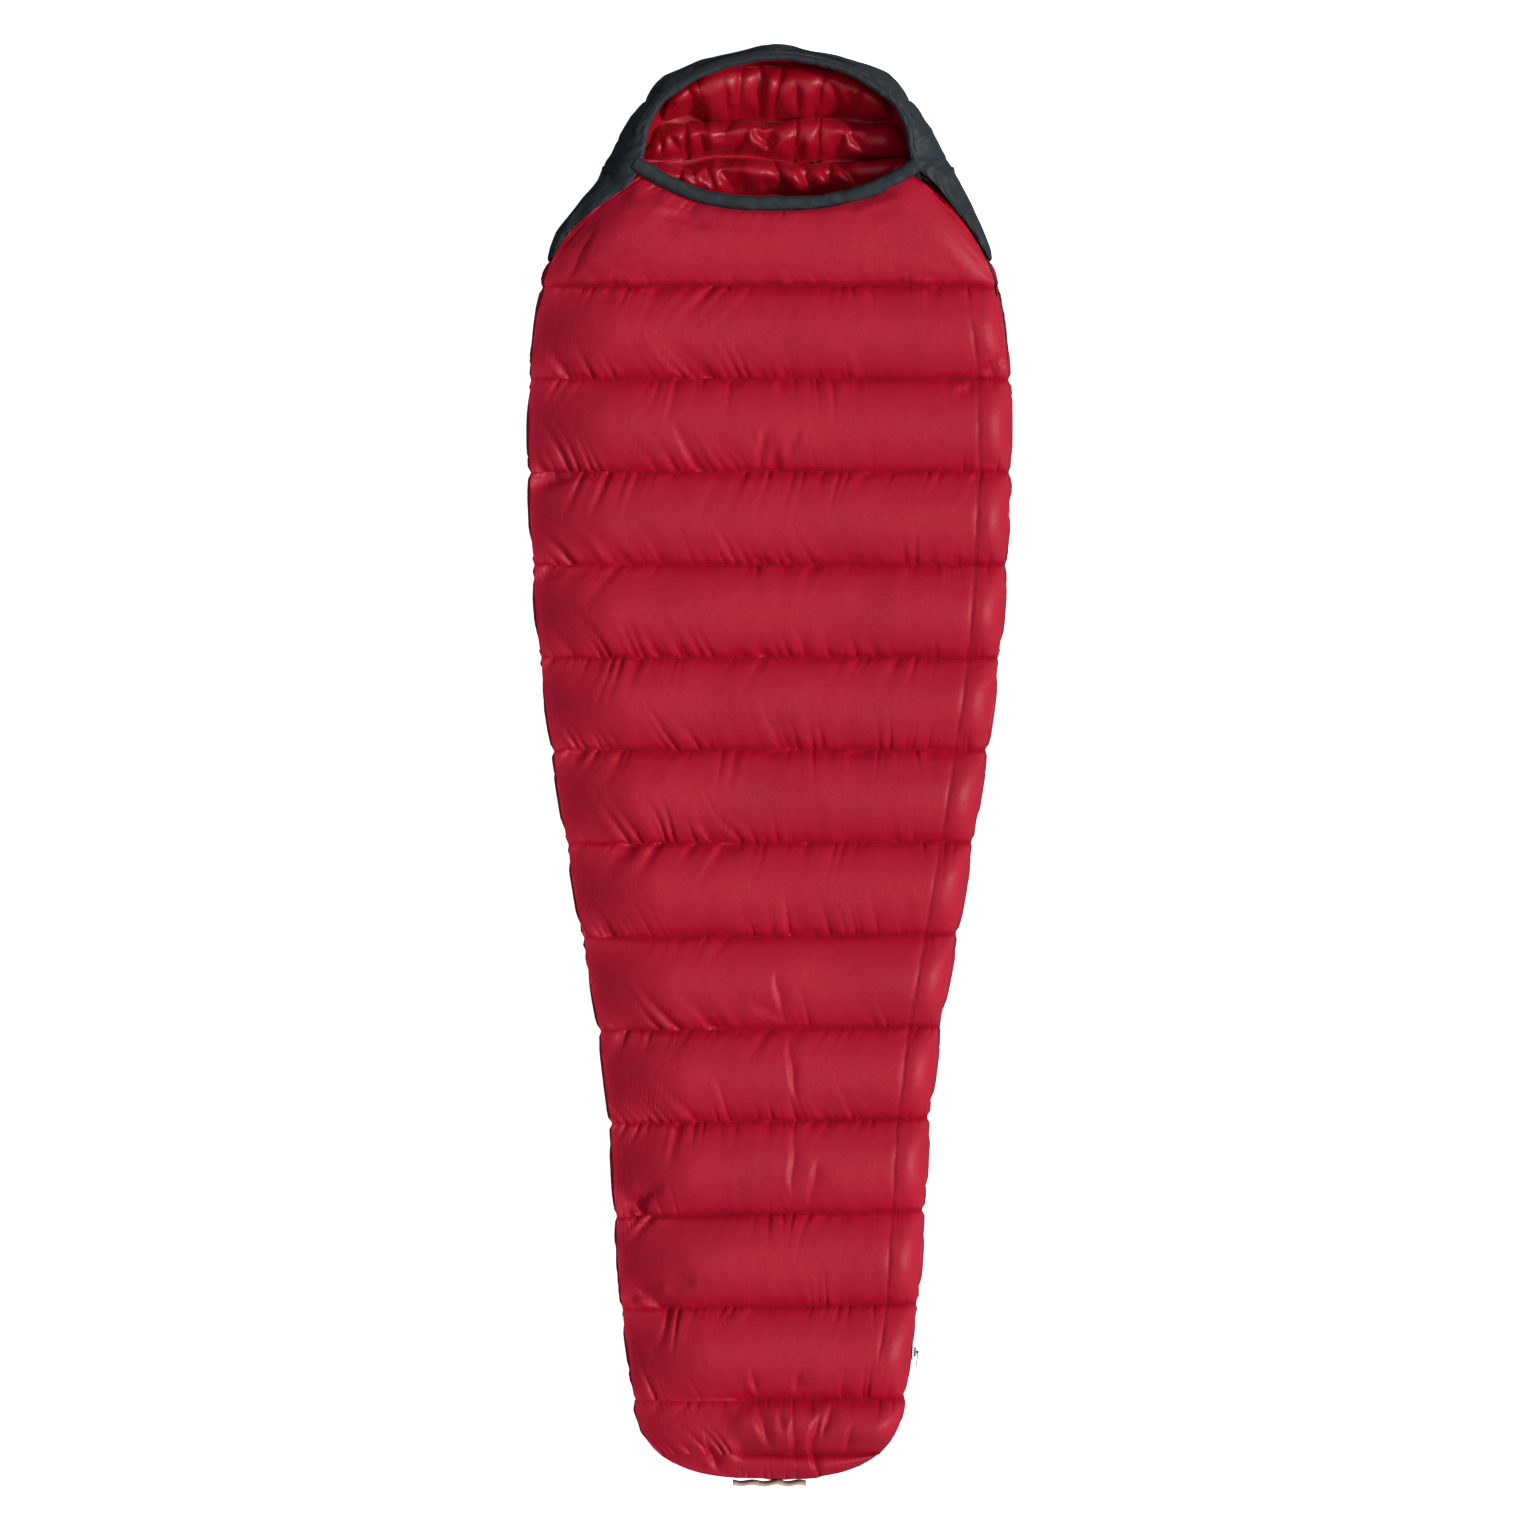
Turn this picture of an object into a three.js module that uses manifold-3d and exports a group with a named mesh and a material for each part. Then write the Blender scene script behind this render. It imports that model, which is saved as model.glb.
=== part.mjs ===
// A mummy sleeping bag lying zipped on its back quilt, as an assembly of quilted baffles.
// Millimetres. +X is the zip side, +Y is the head, +Z is up, and z = 0 is the surface it lies on.
import * as THREE from "three";
import { mergeVertices } from "three/addons/utils/BufferGeometryUtils.js";
import Module from "manifold-3d";

const wasm = await Module();
wasm.setup();

// ---- Driving dimensions -------------------------------------------------------------------

const GAP = 0.4; // between neighbouring solids
const FIRST_SEAM_Y = 680; // the seam between the shoulder yoke and the first full baffle
const SEAM_PITCH = 132.3;
const FULL_BAFFLES = 12; // between the yoke and the foot box, front and back
const LAST_SEAM_Y = FIRST_SEAM_Y - FULL_BAFFLES * SEAM_PITCH;
const FOOT_SEAM_Y = -986; // the short seam of the foot's end cap
const FOOT_LENGTH = 115; // of the foot box, from its last seam to its rounded end
const NECK_Y = 718.5; // where the body's side walls end and the hood's begin
const SEAM_PINCH = 0.012; // share of the width that a seam draws in

// Heights of the front quilt, which is flat below and crowned above.
const FRONT = { under: 97, edge: 103, valley: 133, crest: 148, neckEdge: 119 };
// The back quilt is a tray: a flat floor with two thick side walls.
const BACK = { crest: 30, wall: 42, wallTop: 94, valleyShare: 0.8 };
const HOOD = { wall: 28, roofTop: 113, roofUnder: 101, lining: 34 };
const RIM = { width: 17, chinWidth: 21, z: 113.5, height: 12.5, groove: 7, grooveHeight: 6 };

// Half-widths of the body along its length, [y, half-width], from the foot to the neck.
const SIDE_KNOTS = [
  [-908, 194],
  [-811, 210],
  [-674, 220.5],
  [-537, 227],
  [-400, 242],
  [-264, 266],
  [-127, 289.5],
  [10, 311],
  [147, 330],
  [352, 344],
  [490, 345.5],
  [592, 343.5],
  [660, 333],
  [718, 318],
  [790, 289],
];

// The hood's outline and its face opening, [x, y] pairs from the right shoulder to the crown.
const HOOD_OUTLINE = [
  [318, 719],
  [304, 756],
  [284, 801],
  [258, 852],
  [229, 901],
  [200, 948],
  [176, 977],
  [140, 993],
  [95, 1006],
  [48, 1016],
  [0, 1025],
];
const FACE_OPENING = [
  [204, 850],
  [200, 862],
  [197, 882],
  [194, 903],
  [188, 922],
  [175, 938],
  [158, 952],
  [128, 972],
  [90, 988],
  [46, 999],
  [0, 1004],
];
const HOOD_CENTRE_Y = 800; // the walls lean in towards this point of the centre line
const CROWN_STATION = 5; // where the side panels of the hood meet its crown panel

// The zip leaves the face opening on a shoulder arc, then follows the right side to the foot.
const ZIP = {
  z: 95.5,
  halfHeight: 10.5,
  partGap: 0.8,
  sideInset: 4,
  straightTop: [224, -500],
  bottom: [203, -851],
};
const ZIP_TOP = [202, 838];
const ZIP_ARC = circleThrough(ZIP_TOP, [311, 716], [338, 594]);
const ZIP_CHANNEL = { inner: -1.5, outer: 11.5, low: 84, high: 107.5 };
const PULL_POCKET_RADIUS = 31; // the open corner round the top slider when the zip is shut

// The flap of the top quilt folds back about a line across the chest. The hinge's axis lies just
// above the quilt's crest, at z = 150.5, so the folding side clears the fixed side.
const FOLD = { from: [-120, 830], to: [345, 600] };

const DRAFT_TUBE = { inset: 79, radius: 11, z: 82 };
const CORDLOCK = { x: -187, y: 872, floor: 70, radius: 7.5, height: 20, bore: 5.2, base: 3 };

const COLOURS = {
  shell: { color: 0xb02c42, roughness: 0.55 },
  charcoal: { color: 0x3b474d, roughness: 0.65 },
  lining: { color: 0xb41832, roughness: 0.4 },
  tape: { color: 0x24282b, roughness: 0.8 },
  coil: { color: 0x15181a, roughness: 0.4 },
  slider: { color: 0x4a4d50, roughness: 0.35, metalness: 0.9 },
  cord: { color: 0x202326, roughness: 0.8 },
  plastic: { color: 0x1b1d1f, roughness: 0.45 },
  spring: { color: 0xb9bcc0, roughness: 0.3, metalness: 1 },
  loop: { color: 0xe6dfcf, roughness: 0.8 },
};

// ---- Small helpers ------------------------------------------------------------------------

const lerp = (a, b, t) => a + (b - a) * t;
const clamp01 = (t) => Math.min(1, Math.max(0, t));
const mix = (p, q, t) => p.map((value, i) => lerp(value, q[i], t));
const linspace = (a, b, count) => Array.from({ length: count }, (_, i) => lerp(a, b, i / (count - 1)));

function circleThrough([ax, ay], [bx, by], [cx, cy]) {
  const d = 2 * (ax * (by - cy) + bx * (cy - ay) + cx * (ay - by));
  const [a, b, c] = [ax * ax + ay * ay, bx * bx + by * by, cx * cx + cy * cy];
  const x = (a * (by - cy) + b * (cy - ay) + c * (ay - by)) / d;
  const y = (a * (cx - bx) + b * (ax - cx) + c * (bx - ax)) / d;
  return { x, y, radius: Math.hypot(ax - x, ay - y) };
}

// A smooth curve through knots [t, value] with rising t.
function smooth(knots, t) {
  const last = knots.length - 1;
  const i = Math.min(last - 1, Math.max(0, knots.findIndex(([k]) => k > t) - 1));
  const at = (j) => knots[Math.min(last, Math.max(0, j))];
  const slope = (j) => (at(j + 1)[1] - at(j - 1)[1]) / (at(j + 1)[0] - at(j - 1)[0]);
  const [[t0, v0], [t1, v1]] = [at(i), at(i + 1)];
  const span = t1 - t0;
  const s = (t - t0) / span;
  return (
    v0 * (1 + 2 * s) * (1 - s) ** 2 +
    slope(i) * span * s * (1 - s) ** 2 +
    v1 * s * s * (3 - 2 * s) +
    slope(i + 1) * span * s * s * (s - 1)
  );
}

// The value of a list of points at a fractional station, in straight steps.
function station(points, s) {
  const i = Math.min(points.length - 2, Math.max(0, Math.floor(s)));
  return mix(points[i], points[i + 1], s - i);
}

const bodyHalfWidth = (y) => smooth(SIDE_KNOTS, y);
const chinEdgeY = (x) => 808 + 46 * Math.abs(x / 190) ** 2.6;
const shoulderArcY = (x, radius) =>
  ZIP_ARC.y + Math.sqrt(Math.max(0, radius ** 2 - (Math.abs(x) - ZIP_ARC.x) ** 2));
const footEndY = (x) => LAST_SEAM_Y - FOOT_LENGTH * Math.sqrt(1 - Math.abs(x / 194) ** 3);
// How much of the full puff height is left at a share u of the half-width.
const crown = (u) => Math.sqrt(1 - Math.min(1, Math.abs(u)) ** 5);

// ---- Solids -------------------------------------------------------------------------------

// The triangles that close a flat ring, by its own order when seen from its front.
function capTriangles(ring) {
  const normal = new THREE.Vector3();
  ring.forEach(([x, y, z], i) => {
    const [nx, ny, nz] = ring[(i + 1) % ring.length];
    normal.x += (y - ny) * (z + nz);
    normal.y += (z - nz) * (x + nx);
    normal.z += (x - nx) * (y + ny);
  });
  const size = [Math.abs(normal.x), Math.abs(normal.y), Math.abs(normal.z)];
  const drop = size.indexOf(Math.max(...size));
  const flat = ring.map((p) => new THREE.Vector2(...p.filter((_, axis) => axis !== drop)));
  const triangles = THREE.ShapeUtils.triangulateShape(flat, []);
  const count = ring.length;
  const forward = triangles.some((t) => t.some((v, i) => (v + 1) % count === t[(i + 1) % 3]));
  return forward ? triangles : triangles.map(([a, b, c]) => [a, c, b]);
}

function toManifold(geometry) {
  const bare = geometry.index ? geometry.clone() : geometry;
  bare.deleteAttribute("normal");
  bare.deleteAttribute("uv");
  const merged = mergeVertices(bare, 1e-3);
  return new wasm.Manifold(
    new wasm.Mesh({
      numProp: 3,
      vertProperties: merged.attributes.position.array,
      triVerts: new Uint32Array(merged.index.array),
    }),
  );
}

function toGeometry(solid) {
  const { vertProperties, triVerts } = solid.getMesh();
  const geometry = new THREE.BufferGeometry();
  geometry.setAttribute("position", new THREE.BufferAttribute(new Float32Array(vertProperties), 3));
  geometry.setIndex(new THREE.BufferAttribute(new Uint32Array(triVerts), 1));
  geometry.computeVertexNormals();
  return geometry;
}

// A closed solid through a row of rings that all have the same number of points.
function loft(rings) {
  const count = rings[0].length;
  const triangles = [];
  rings.slice(1).forEach((_, i) => {
    for (let j = 0; j < count; j++) {
      const [a, b] = [i * count + j, i * count + ((j + 1) % count)];
      triangles.push([a, b, b + count], [a, b + count, a + count]);
    }
  });
  const last = (rings.length - 1) * count;
  capTriangles(rings[0]).forEach(([a, b, c]) => triangles.push([a, c, b]));
  capTriangles(rings.at(-1)).forEach(([a, b, c]) => triangles.push([a + last, b + last, c + last]));
  const points = rings.flat();
  const volume = triangles.reduce((sum, [a, b, c]) => {
    const [p, q, r] = [a, b, c].map((v) => new THREE.Vector3(...points[v]));
    return sum + p.dot(q.cross(r));
  }, 0);
  const faces = volume < 0 ? triangles.map(([a, b, c]) => [a, c, b]) : triangles;
  const geometry = new THREE.BufferGeometry();
  geometry.setAttribute("position", new THREE.Float32BufferAttribute(points.flat(), 3));
  geometry.setIndex(faces.flat());
  return toManifold(geometry);
}

// A profile of [offset, z] points carried along a level path. Offsets go to the path's left.
function sweep(path, profile) {
  const rings = path.map(([x, y], i) => {
    const [[x0, y0], [x1, y1]] = [path[Math.max(0, i - 1)], path[Math.min(path.length - 1, i + 1)]];
    const length = Math.hypot(x1 - x0, y1 - y0);
    const [left, ahead] = [-(y1 - y0) / length, (x1 - x0) / length];
    return profile.map(([offset, z]) => [x + left * offset, y + ahead * offset, z]);
  });
  return loft(rings);
}

// The same along the chin's edge of the face opening.
const chinSweep = (profile) =>
  sweep(
    linspace(-195, 192, 13).map((x) => [x, chinEdgeY(x)]),
    profile,
  );

const rectangle = (a, b, low, high) => [
  [a, low],
  [b, low],
  [b, high],
  [a, high],
];
const roundProfile = (offset, z, radius, sides) =>
  Array.from({ length: sides }, (_, i) => {
    const angle = (2 * Math.PI * i) / sides;
    return [offset + radius * Math.cos(angle), z + radius * Math.sin(angle)];
  });

function boxAt(sizes, centre) {
  return toManifold(new THREE.BoxGeometry(...sizes)).translate(centre);
}

// An upright cylinder through all the heights of the bag.
function upright(x, y, radius, sides) {
  const geometry = new THREE.CylinderGeometry(radius, radius, 400, sides).rotateX(Math.PI / 2);
  return toManifold(geometry).translate([x, y, 0]);
}

// A turned solid about the upright axis, from [radius, z] points.
function turned(profile, sides) {
  const points = profile.map(([radius, z]) => new THREE.Vector2(radius, z));
  return toManifold(new THREE.LatheGeometry(points, sides).rotateX(Math.PI / 2));
}

// The halves of a solid on either side of the upright fold plane, each set back from it.
const foldRun = [FOLD.to[0] - FOLD.from[0], FOLD.to[1] - FOLD.from[1]];
const foldLength = Math.hypot(...foldRun);
const foldNormal = [-foldRun[1] / foldLength, foldRun[0] / foldLength, 0];
const foldOffset = foldNormal[0] * FOLD.from[0] + foldNormal[1] * FOLD.from[1];
const flapSide = (solid) => solid.trimByPlane(foldNormal, foldOffset + GAP / 2);
const fixedSide = (solid) =>
  solid.trimByPlane(
    foldNormal.map((n) => -n),
    -foldOffset + GAP / 2,
  );

// ---- The zip's path and the channel that it runs in ---------------------------------------

const arcPoint = (angle, offset = 0) => [
  ZIP_ARC.x + (ZIP_ARC.radius + offset) * Math.cos(angle),
  ZIP_ARC.y + (ZIP_ARC.radius + offset) * Math.sin(angle),
];
const zipStartAngle = Math.atan2(ZIP_TOP[1] - ZIP_ARC.y, ZIP_TOP[0] - ZIP_ARC.x);
const shoulderPath = linspace(zipStartAngle, 0, 13).map((angle) => arcPoint(angle));
const sidePath = linspace(500, -400, 9).map((y) => [bodyHalfWidth(y) - ZIP.sideInset, y]);
const zipPath = [...shoulderPath, ...sidePath, ZIP.straightTop, ZIP.bottom];
const channelEnd = mix(ZIP.bottom, ZIP.straightTop, -0.03);
const channelStart = arcPoint(zipStartAngle + 0.06);
const channel = sweep(
  [channelStart, ...zipPath, channelEnd],
  rectangle(ZIP_CHANNEL.inner, ZIP_CHANNEL.outer, ZIP_CHANNEL.low, ZIP_CHANNEL.high),
);

// ---- Front quilt --------------------------------------------------------------------------

const PUFF = [
  [0, 0],
  [0.16, 0.72],
  [0.5, 1],
  [0.84, 0.72],
  [1, 0],
]; // share of a baffle's pitch, share of its puff height

// One baffle's ring at a share u of the half-width, between y = low and y = high.
function frontRing(u, [low, high], [lowTop, highTop], x) {
  const lift = (z) => lerp(FRONT.edge, z, crown(u));
  const top = PUFF.map(([share, puff]) => {
    const seam = lerp(lowTop, highTop, share);
    const y = lerp(low, high, share);
    return [x(y), y, lift(lerp(seam, Math.max(seam, FRONT.crest), puff))];
  });
  return [...top, [x(high), high, FRONT.under], [x(low), low, FRONT.under]];
}

const ACROSS = [-1, -0.96, -0.88, -0.75, -0.5, 0, 0.5, 0.75, 0.88, 0.96, 1];

function frontBaffle(high, low) {
  const pinch = (y) => 1 - SEAM_PINCH * Math.abs((2 * (y - low)) / (high - low) - 1) ** 3;
  const rings = ACROSS.map((u) =>
    frontRing(u, [low, high], [FRONT.valley, FRONT.valley], (y) => u * bodyHalfWidth(y) * pinch(y)),
  );
  return loft(rings).subtract(channel);
}

function yoke() {
  const low = FIRST_SEAM_Y + GAP / 2;
  const reach = bodyHalfWidth(low) - 6;
  const columns = [-1, -0.93, -0.82, -0.7, -0.62, -0.45, -0.22, 0, 0.22, 0.45, 0.62, 0.7, 0.82, 0.93, 1];
  const rings = columns.map((column) => {
    const x = column * reach;
    const chin = chinEdgeY(x) - RIM.chinWidth;
    const high = Math.min(chin, shoulderArcY(x, ZIP_ARC.radius + ZIP_CHANNEL.inner));
    return frontRing(x / (reach + 4), [low, high], [FRONT.valley, FRONT.neckEdge], () => x);
  });
  const chinClearance = chinSweep(rectangle(-RIM.chinWidth - GAP, 5, FRONT.under - 1, FRONT.crest));
  return loft(rings).subtract(channel).subtract(chinClearance);
}

function footFront() {
  const rings = ACROSS.map((column) => {
    const x = column * 191;
    const end = footEndY(x);
    const low = Math.max(end, FOOT_SEAM_Y + GAP / 2);
    const lowTop = lerp(FRONT.edge, FRONT.valley - 4, clamp01((FOOT_SEAM_Y + 30 - end) / 45));
    return frontRing(x / 194, [low, LAST_SEAM_Y - GAP / 2], [lowTop, FRONT.valley], () => x);
  });
  return loft(rings);
}

function footCap() {
  const high = FOOT_SEAM_Y - GAP / 2;
  const rings = linspace(-1, 1, 9).map((column) => {
    const x = column * 142;
    const seamTop = lerp(FRONT.edge, FRONT.valley - 4, crown(column));
    const low = footEndY(x);
    const mid = lerp(low, high, 0.5);
    return [
      [x, low, FRONT.edge],
      [x, mid, lerp(FRONT.edge, seamTop, 0.8)],
      [x, high, seamTop],
      [x, high, FRONT.under],
      [x, low, FRONT.under],
    ];
  });
  return loft(rings);
}

// ---- Back quilt ---------------------------------------------------------------------------

// Places from the centre line to the top of the wall. The outer face is at a share of the
// half-width or at an inset from the side, and the inner face at an inset of its own.
const TRAY = [
  { share: 0, outerZ: 0, innerZ: BACK.crest },
  { share: 0.5, outerZ: 0, innerZ: BACK.crest },
  { inset: 78, outerZ: 0, innerInset: 78, innerZ: BACK.crest + 1 },
  { inset: 32, outerZ: 0, innerInset: 62, innerZ: 38 },
  { inset: 9, outerZ: 20, innerInset: 49, innerZ: 52 },
  { inset: 0, outerZ: 56, innerInset: BACK.wall, innerZ: 72 },
  { inset: 1, outerZ: BACK.wallTop, innerInset: BACK.wall, innerZ: BACK.wallTop },
];

function trayRing(place, side, low, high) {
  const outer = (y) => side * (place.inset === undefined ? place.share : 1) * bodyHalfWidth(y);
  const point = (y, share) => {
    const outerX = outer(y) - side * (place.inset ?? 0);
    const innerX = outer(y) - side * (place.innerInset ?? 0);
    return [lerp(outerX, innerX, share), y, lerp(place.outerZ, place.innerZ, share)];
  };
  const inside = PUFF.map(([share, puff]) =>
    point(lerp(low, high, share), lerp(BACK.valleyShare, 1, puff)),
  );
  return [...inside, point(high, 0), point(low, 0)];
}

function backBaffle(high, low) {
  const left = TRAY.slice(1).reverse();
  const rings = [
    ...left.map((place) => trayRing(place, -1, low, high)),
    ...TRAY.map((place) => trayRing(place, 1, low, high)),
  ];
  return loft(rings).subtract(channel);
}

function footBack() {
  const high = LAST_SEAM_Y - GAP / 2;
  const columns = [-1, -0.95, -0.83, -0.74, -0.4, 0, 0.4, 0.74, 0.83, 0.95, 1];
  const rings = columns.map((column) => {
    const x = column * 191;
    const end = footEndY(x);
    const deep = clamp01((high - end) / FOOT_LENGTH);
    const side = clamp01((Math.abs(x) - 140) / 18);
    const floor = lerp(BACK.crest, BACK.wallTop - 1, side);
    const under = 45 * clamp01((Math.abs(x) - 160) / 31) ** 2;
    return [
      [x, high, under],
      [x, end + 22 * deep, under],
      [x, end, lerp(under, BACK.wallTop, 0.35)],
      [x, end, BACK.wallTop],
      [x, end + 40 * deep, BACK.wallTop],
      [x, end + 46 * deep, lerp(floor, BACK.wallTop, 0.25)],
      [x, end + 66 * deep, floor],
      [x, high, lerp(floor, BACK.wallTop, 0.02)],
    ];
  });
  return loft(rings);
}

// ---- Hood ---------------------------------------------------------------------------------

const mirrored = (points) => [...points, ...points.slice(0, -1).map(([x, y]) => [-x, y]).reverse()];
const hoodOutline = mirrored(HOOD_OUTLINE);
const faceOpening = mirrored(FACE_OPENING);
const LAST_STATION = hoodOutline.length - 1;

// The section of the hood's wall and roof at a station, from the ground round to the inside.
function hoodRing(s) {
  const outline = station(hoodOutline, s);
  const edge = station(faceOpening, s);
  const reach = [edge[0] - outline[0], edge[1] - outline[1]];
  const centre = [-outline[0], HOOD_CENTRE_Y - outline[1]];
  const inward = centre.map((c) => c / Math.hypot(...centre));
  const wall = Math.min(HOOD.wall, 0.85 * Math.hypot(...reach));
  const at = (step, share, z) => [
    outline[0] + inward[0] * step + reach[0] * share,
    outline[1] + inward[1] * step + reach[1] * share,
    z,
  ];
  return [
    at(3, 0, 0),
    at(0, 0, 45),
    at(3, 0.02, 86),
    at(3, 0.4, HOOD.roofTop - 1),
    at(0, 1, HOOD.roofTop),
    at(0, 1, HOOD.roofUnder),
    at(0.4 * wall, 0.5, HOOD.roofUnder - 2),
    at(wall, 0.05, 80),
    at(wall, 0, 50),
    at(wall, 0, 0),
  ];
}

function hoodPanel(from, to, count) {
  return loft(linspace(from, to, count).map(hoodRing)).trimByPlane([0, 1, 0], NECK_Y);
}

function liningTube(low, high, halfWidth, farY) {
  const rings = linspace(-1, 1, 9).map((column) => {
    const x = column * halfWidth(low) * 0.985;
    const top = farY ? farY(x) : high;
    const inset = farY ? 1 : halfWidth(high) / halfWidth(low);
    const section = PUFF.map(([share, puff]) => [
      x * lerp(1, inset, share),
      lerp(low, top, share),
      lerp(HOOD.lining * BACK.valleyShare, HOOD.lining, puff),
    ]);
    return [...section, [x * inset, top, 0], [x, low, 0]];
  });
  return loft(rings);
}

// ---- Trim, zip and cordlock ---------------------------------------------------------------

function rimProfile() {
  const top = RIM.z + RIM.height;
  const [a, b] = [(RIM.width - RIM.groove) / 2 - 1, (RIM.width + RIM.groove) / 2 - 1];
  return [
    [-1, RIM.z],
    [a, RIM.z],
    [a, RIM.z + RIM.grooveHeight],
    [b, RIM.z + RIM.grooveHeight],
    [b, RIM.z],
    [RIM.width - 1, RIM.z],
    [RIM.width - 1, top],
    [-1, top],
  ];
}

// The face opening from left to right, without the ends that the zip and the chin need.
const rimPath = linspace(LAST_STATION - 0.4, 0.7, 23).map((s) => station(faceOpening, s));

function chinRim() {
  const reach = ZIP_ARC.radius + ZIP_CHANNEL.inner;
  const shoulders = upright(ZIP_ARC.x, ZIP_ARC.y, reach, 96).add(upright(-ZIP_ARC.x, ZIP_ARC.y, reach, 96));
  return chinSweep(rectangle(-RIM.chinWidth, 0, RIM.z, RIM.z + RIM.height))
    .intersect(shoulders)
    .subtract(channel);
}

const zipLow = ZIP.z - ZIP.halfHeight;
const zipHigh = ZIP.z + ZIP.halfHeight;
const TAPE_SPAN = [-1.1, 0.4];
const COIL_SPAN = [0.7, 2.3];
const COIL_HALF_HEIGHT = 3.4;
const zipStrip = (span, low, high) => sweep(zipPath, rectangle(...span, low, high));

// A slider on the outer face of the coils, in its own frame: +x outwards, +y along the zip.
const SLIDER = { face: 2.7, back: 5.4, length: 13, height: 13, lug: 9.4, lugZ: 5, pivot: 7.7 };

function sliderBody() {
  const { face, back, length, height, lug, lugZ } = SLIDER;
  const plate = boxAt([back - face, length, height], [(face + back) / 2, 0, 0]);
  const ears = [-1, 1].map((side) => boxAt([lug - back + 1, 4, 2], [(lug + back - 1) / 2, 0, side * lugZ]));
  return ears.reduce((body, ear) => body.add(ear), plate);
}

function pullTab() {
  const barrel = new THREE.CylinderGeometry(1.5, 1.5, 7.2, 12).rotateX(Math.PI / 2);
  const stem = boxAt([1.4, 6, 3], [0, -3.4, 0]);
  const blade = boxAt([1.5, 13, 6.4], [0, -12, 0]);
  return toManifold(barrel).add(stem).add(blade);
}

// A group whose frame sits on the zip's path, facing out.
function zipFrame([x, y], outwardAngle, meshes) {
  const group = new THREE.Group();
  group.position.set(x, y, ZIP.z);
  group.rotation.z = outwardAngle;
  group.add(...meshes);
  return group;
}

const cordlockProfile = ({ radius, height, bore, base }) => [
  [0, 0],
  [radius, 0],
  [radius, height],
  [bore, height],
  [bore, base],
  [0, base],
];

// ---- The assembly -------------------------------------------------------------------------

const bag = new THREE.Group();

function meshOf(name, solid, slot) {
  const mesh = new THREE.Mesh(toGeometry(solid), new THREE.MeshStandardMaterial(COLOURS[slot]));
  mesh.name = name;
  return mesh;
}
const add = (name, solid, slot) => bag.add(meshOf(name, solid, slot));
const twoDigits = (k) => String(k).padStart(2, "0");
const seamY = (k) => FIRST_SEAM_Y - k * SEAM_PITCH;

const yokeSolid = yoke();
add("chest_yoke", fixedSide(yokeSolid), "shell");
add("chest_yoke_flap", flapSide(yokeSolid), "shell");
for (let k = 1; k <= FULL_BAFFLES; k++) {
  const [high, low] = [seamY(k - 1) - GAP / 2, seamY(k) + GAP / 2];
  const front = frontBaffle(high, low);
  add("front_baffle_" + twoDigits(k), k === 1 ? fixedSide(front) : front, "shell");
  if (k === 1) add("front_baffle_01_flap", flapSide(front), "shell");
  add("back_baffle_" + twoDigits(k), backBaffle(high, low), "shell");
}
add("neck_baffle_back", backBaffle(NECK_Y - GAP, FIRST_SEAM_Y + GAP / 2), "shell");
add("foot_box_front", footFront(), "shell");
add("foot_end_cap", footCap(), "shell");
add("foot_box_back", footBack(), "shell");

// The hood: three lining tubes and a neck tube on the floor, with walls and a roof round them.
const liningSeams = [NECK_Y + GAP, 808, 865, 920];
const liningHalfWidth = (y) => smooth([[718, 286], [808, 246], [865, 214], [920, 180]], y);
for (let k = 0; k < 3; k++) {
  const [low, high] = [liningSeams[k] + GAP / 2, liningSeams[k + 1] - GAP / 2];
  add("hood_lining_tube_" + twoDigits(k + 1), liningTube(low, high, liningHalfWidth), "lining");
}
const crownTubeEnd = (x) => 920 + 76 * (1 - Math.abs(x / 181) ** 2.2) ** 0.6;
add("hood_lining_tube_04", liningTube(920 + GAP / 2, 0, liningHalfWidth, crownTubeEnd), "lining");

const aboveZip = (solid) => solid.trimByPlane([0, 0, 1], ZIP_CHANNEL.low);
const zipCut = aboveZip(upright(ZIP_ARC.x, ZIP_ARC.y, ZIP_ARC.radius + ZIP_CHANNEL.outer, 96));
const leftCut = upright(-ZIP_ARC.x, ZIP_ARC.y, ZIP_ARC.radius + ZIP_CHANNEL.inner + 1.5, 96);
const pullCut = upright(...ZIP_TOP, PULL_POCKET_RADIUS, 48);
const rightPanel = hoodPanel(0, CROWN_STATION - 0.01, 9).subtract(zipCut).subtract(pullCut);
const leftPanel = hoodPanel(LAST_STATION - CROWN_STATION + 0.01, LAST_STATION, 9);
add("hood_panel_right", rightPanel.subtract(channel), "charcoal");
add("hood_crown", hoodPanel(CROWN_STATION + 0.01, LAST_STATION - CROWN_STATION - 0.01, 11), "charcoal");
add("hood_panel_left", leftPanel.subtract(leftCut), "charcoal");
add("hood_rim", sweep(rimPath, rimProfile()).subtract(pullCut), "charcoal");
add("chin_rim", fixedSide(chinRim()), "charcoal");
add("chin_rim_flap", flapSide(chinRim()), "charcoal");
const cordOffset = RIM.width / 2 - 1;
add("hood_drawcord", sweep(rimPath.slice(0, -3), roundProfile(cordOffset, RIM.z + 2.9, 2.4, 8)), "cord");

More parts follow.
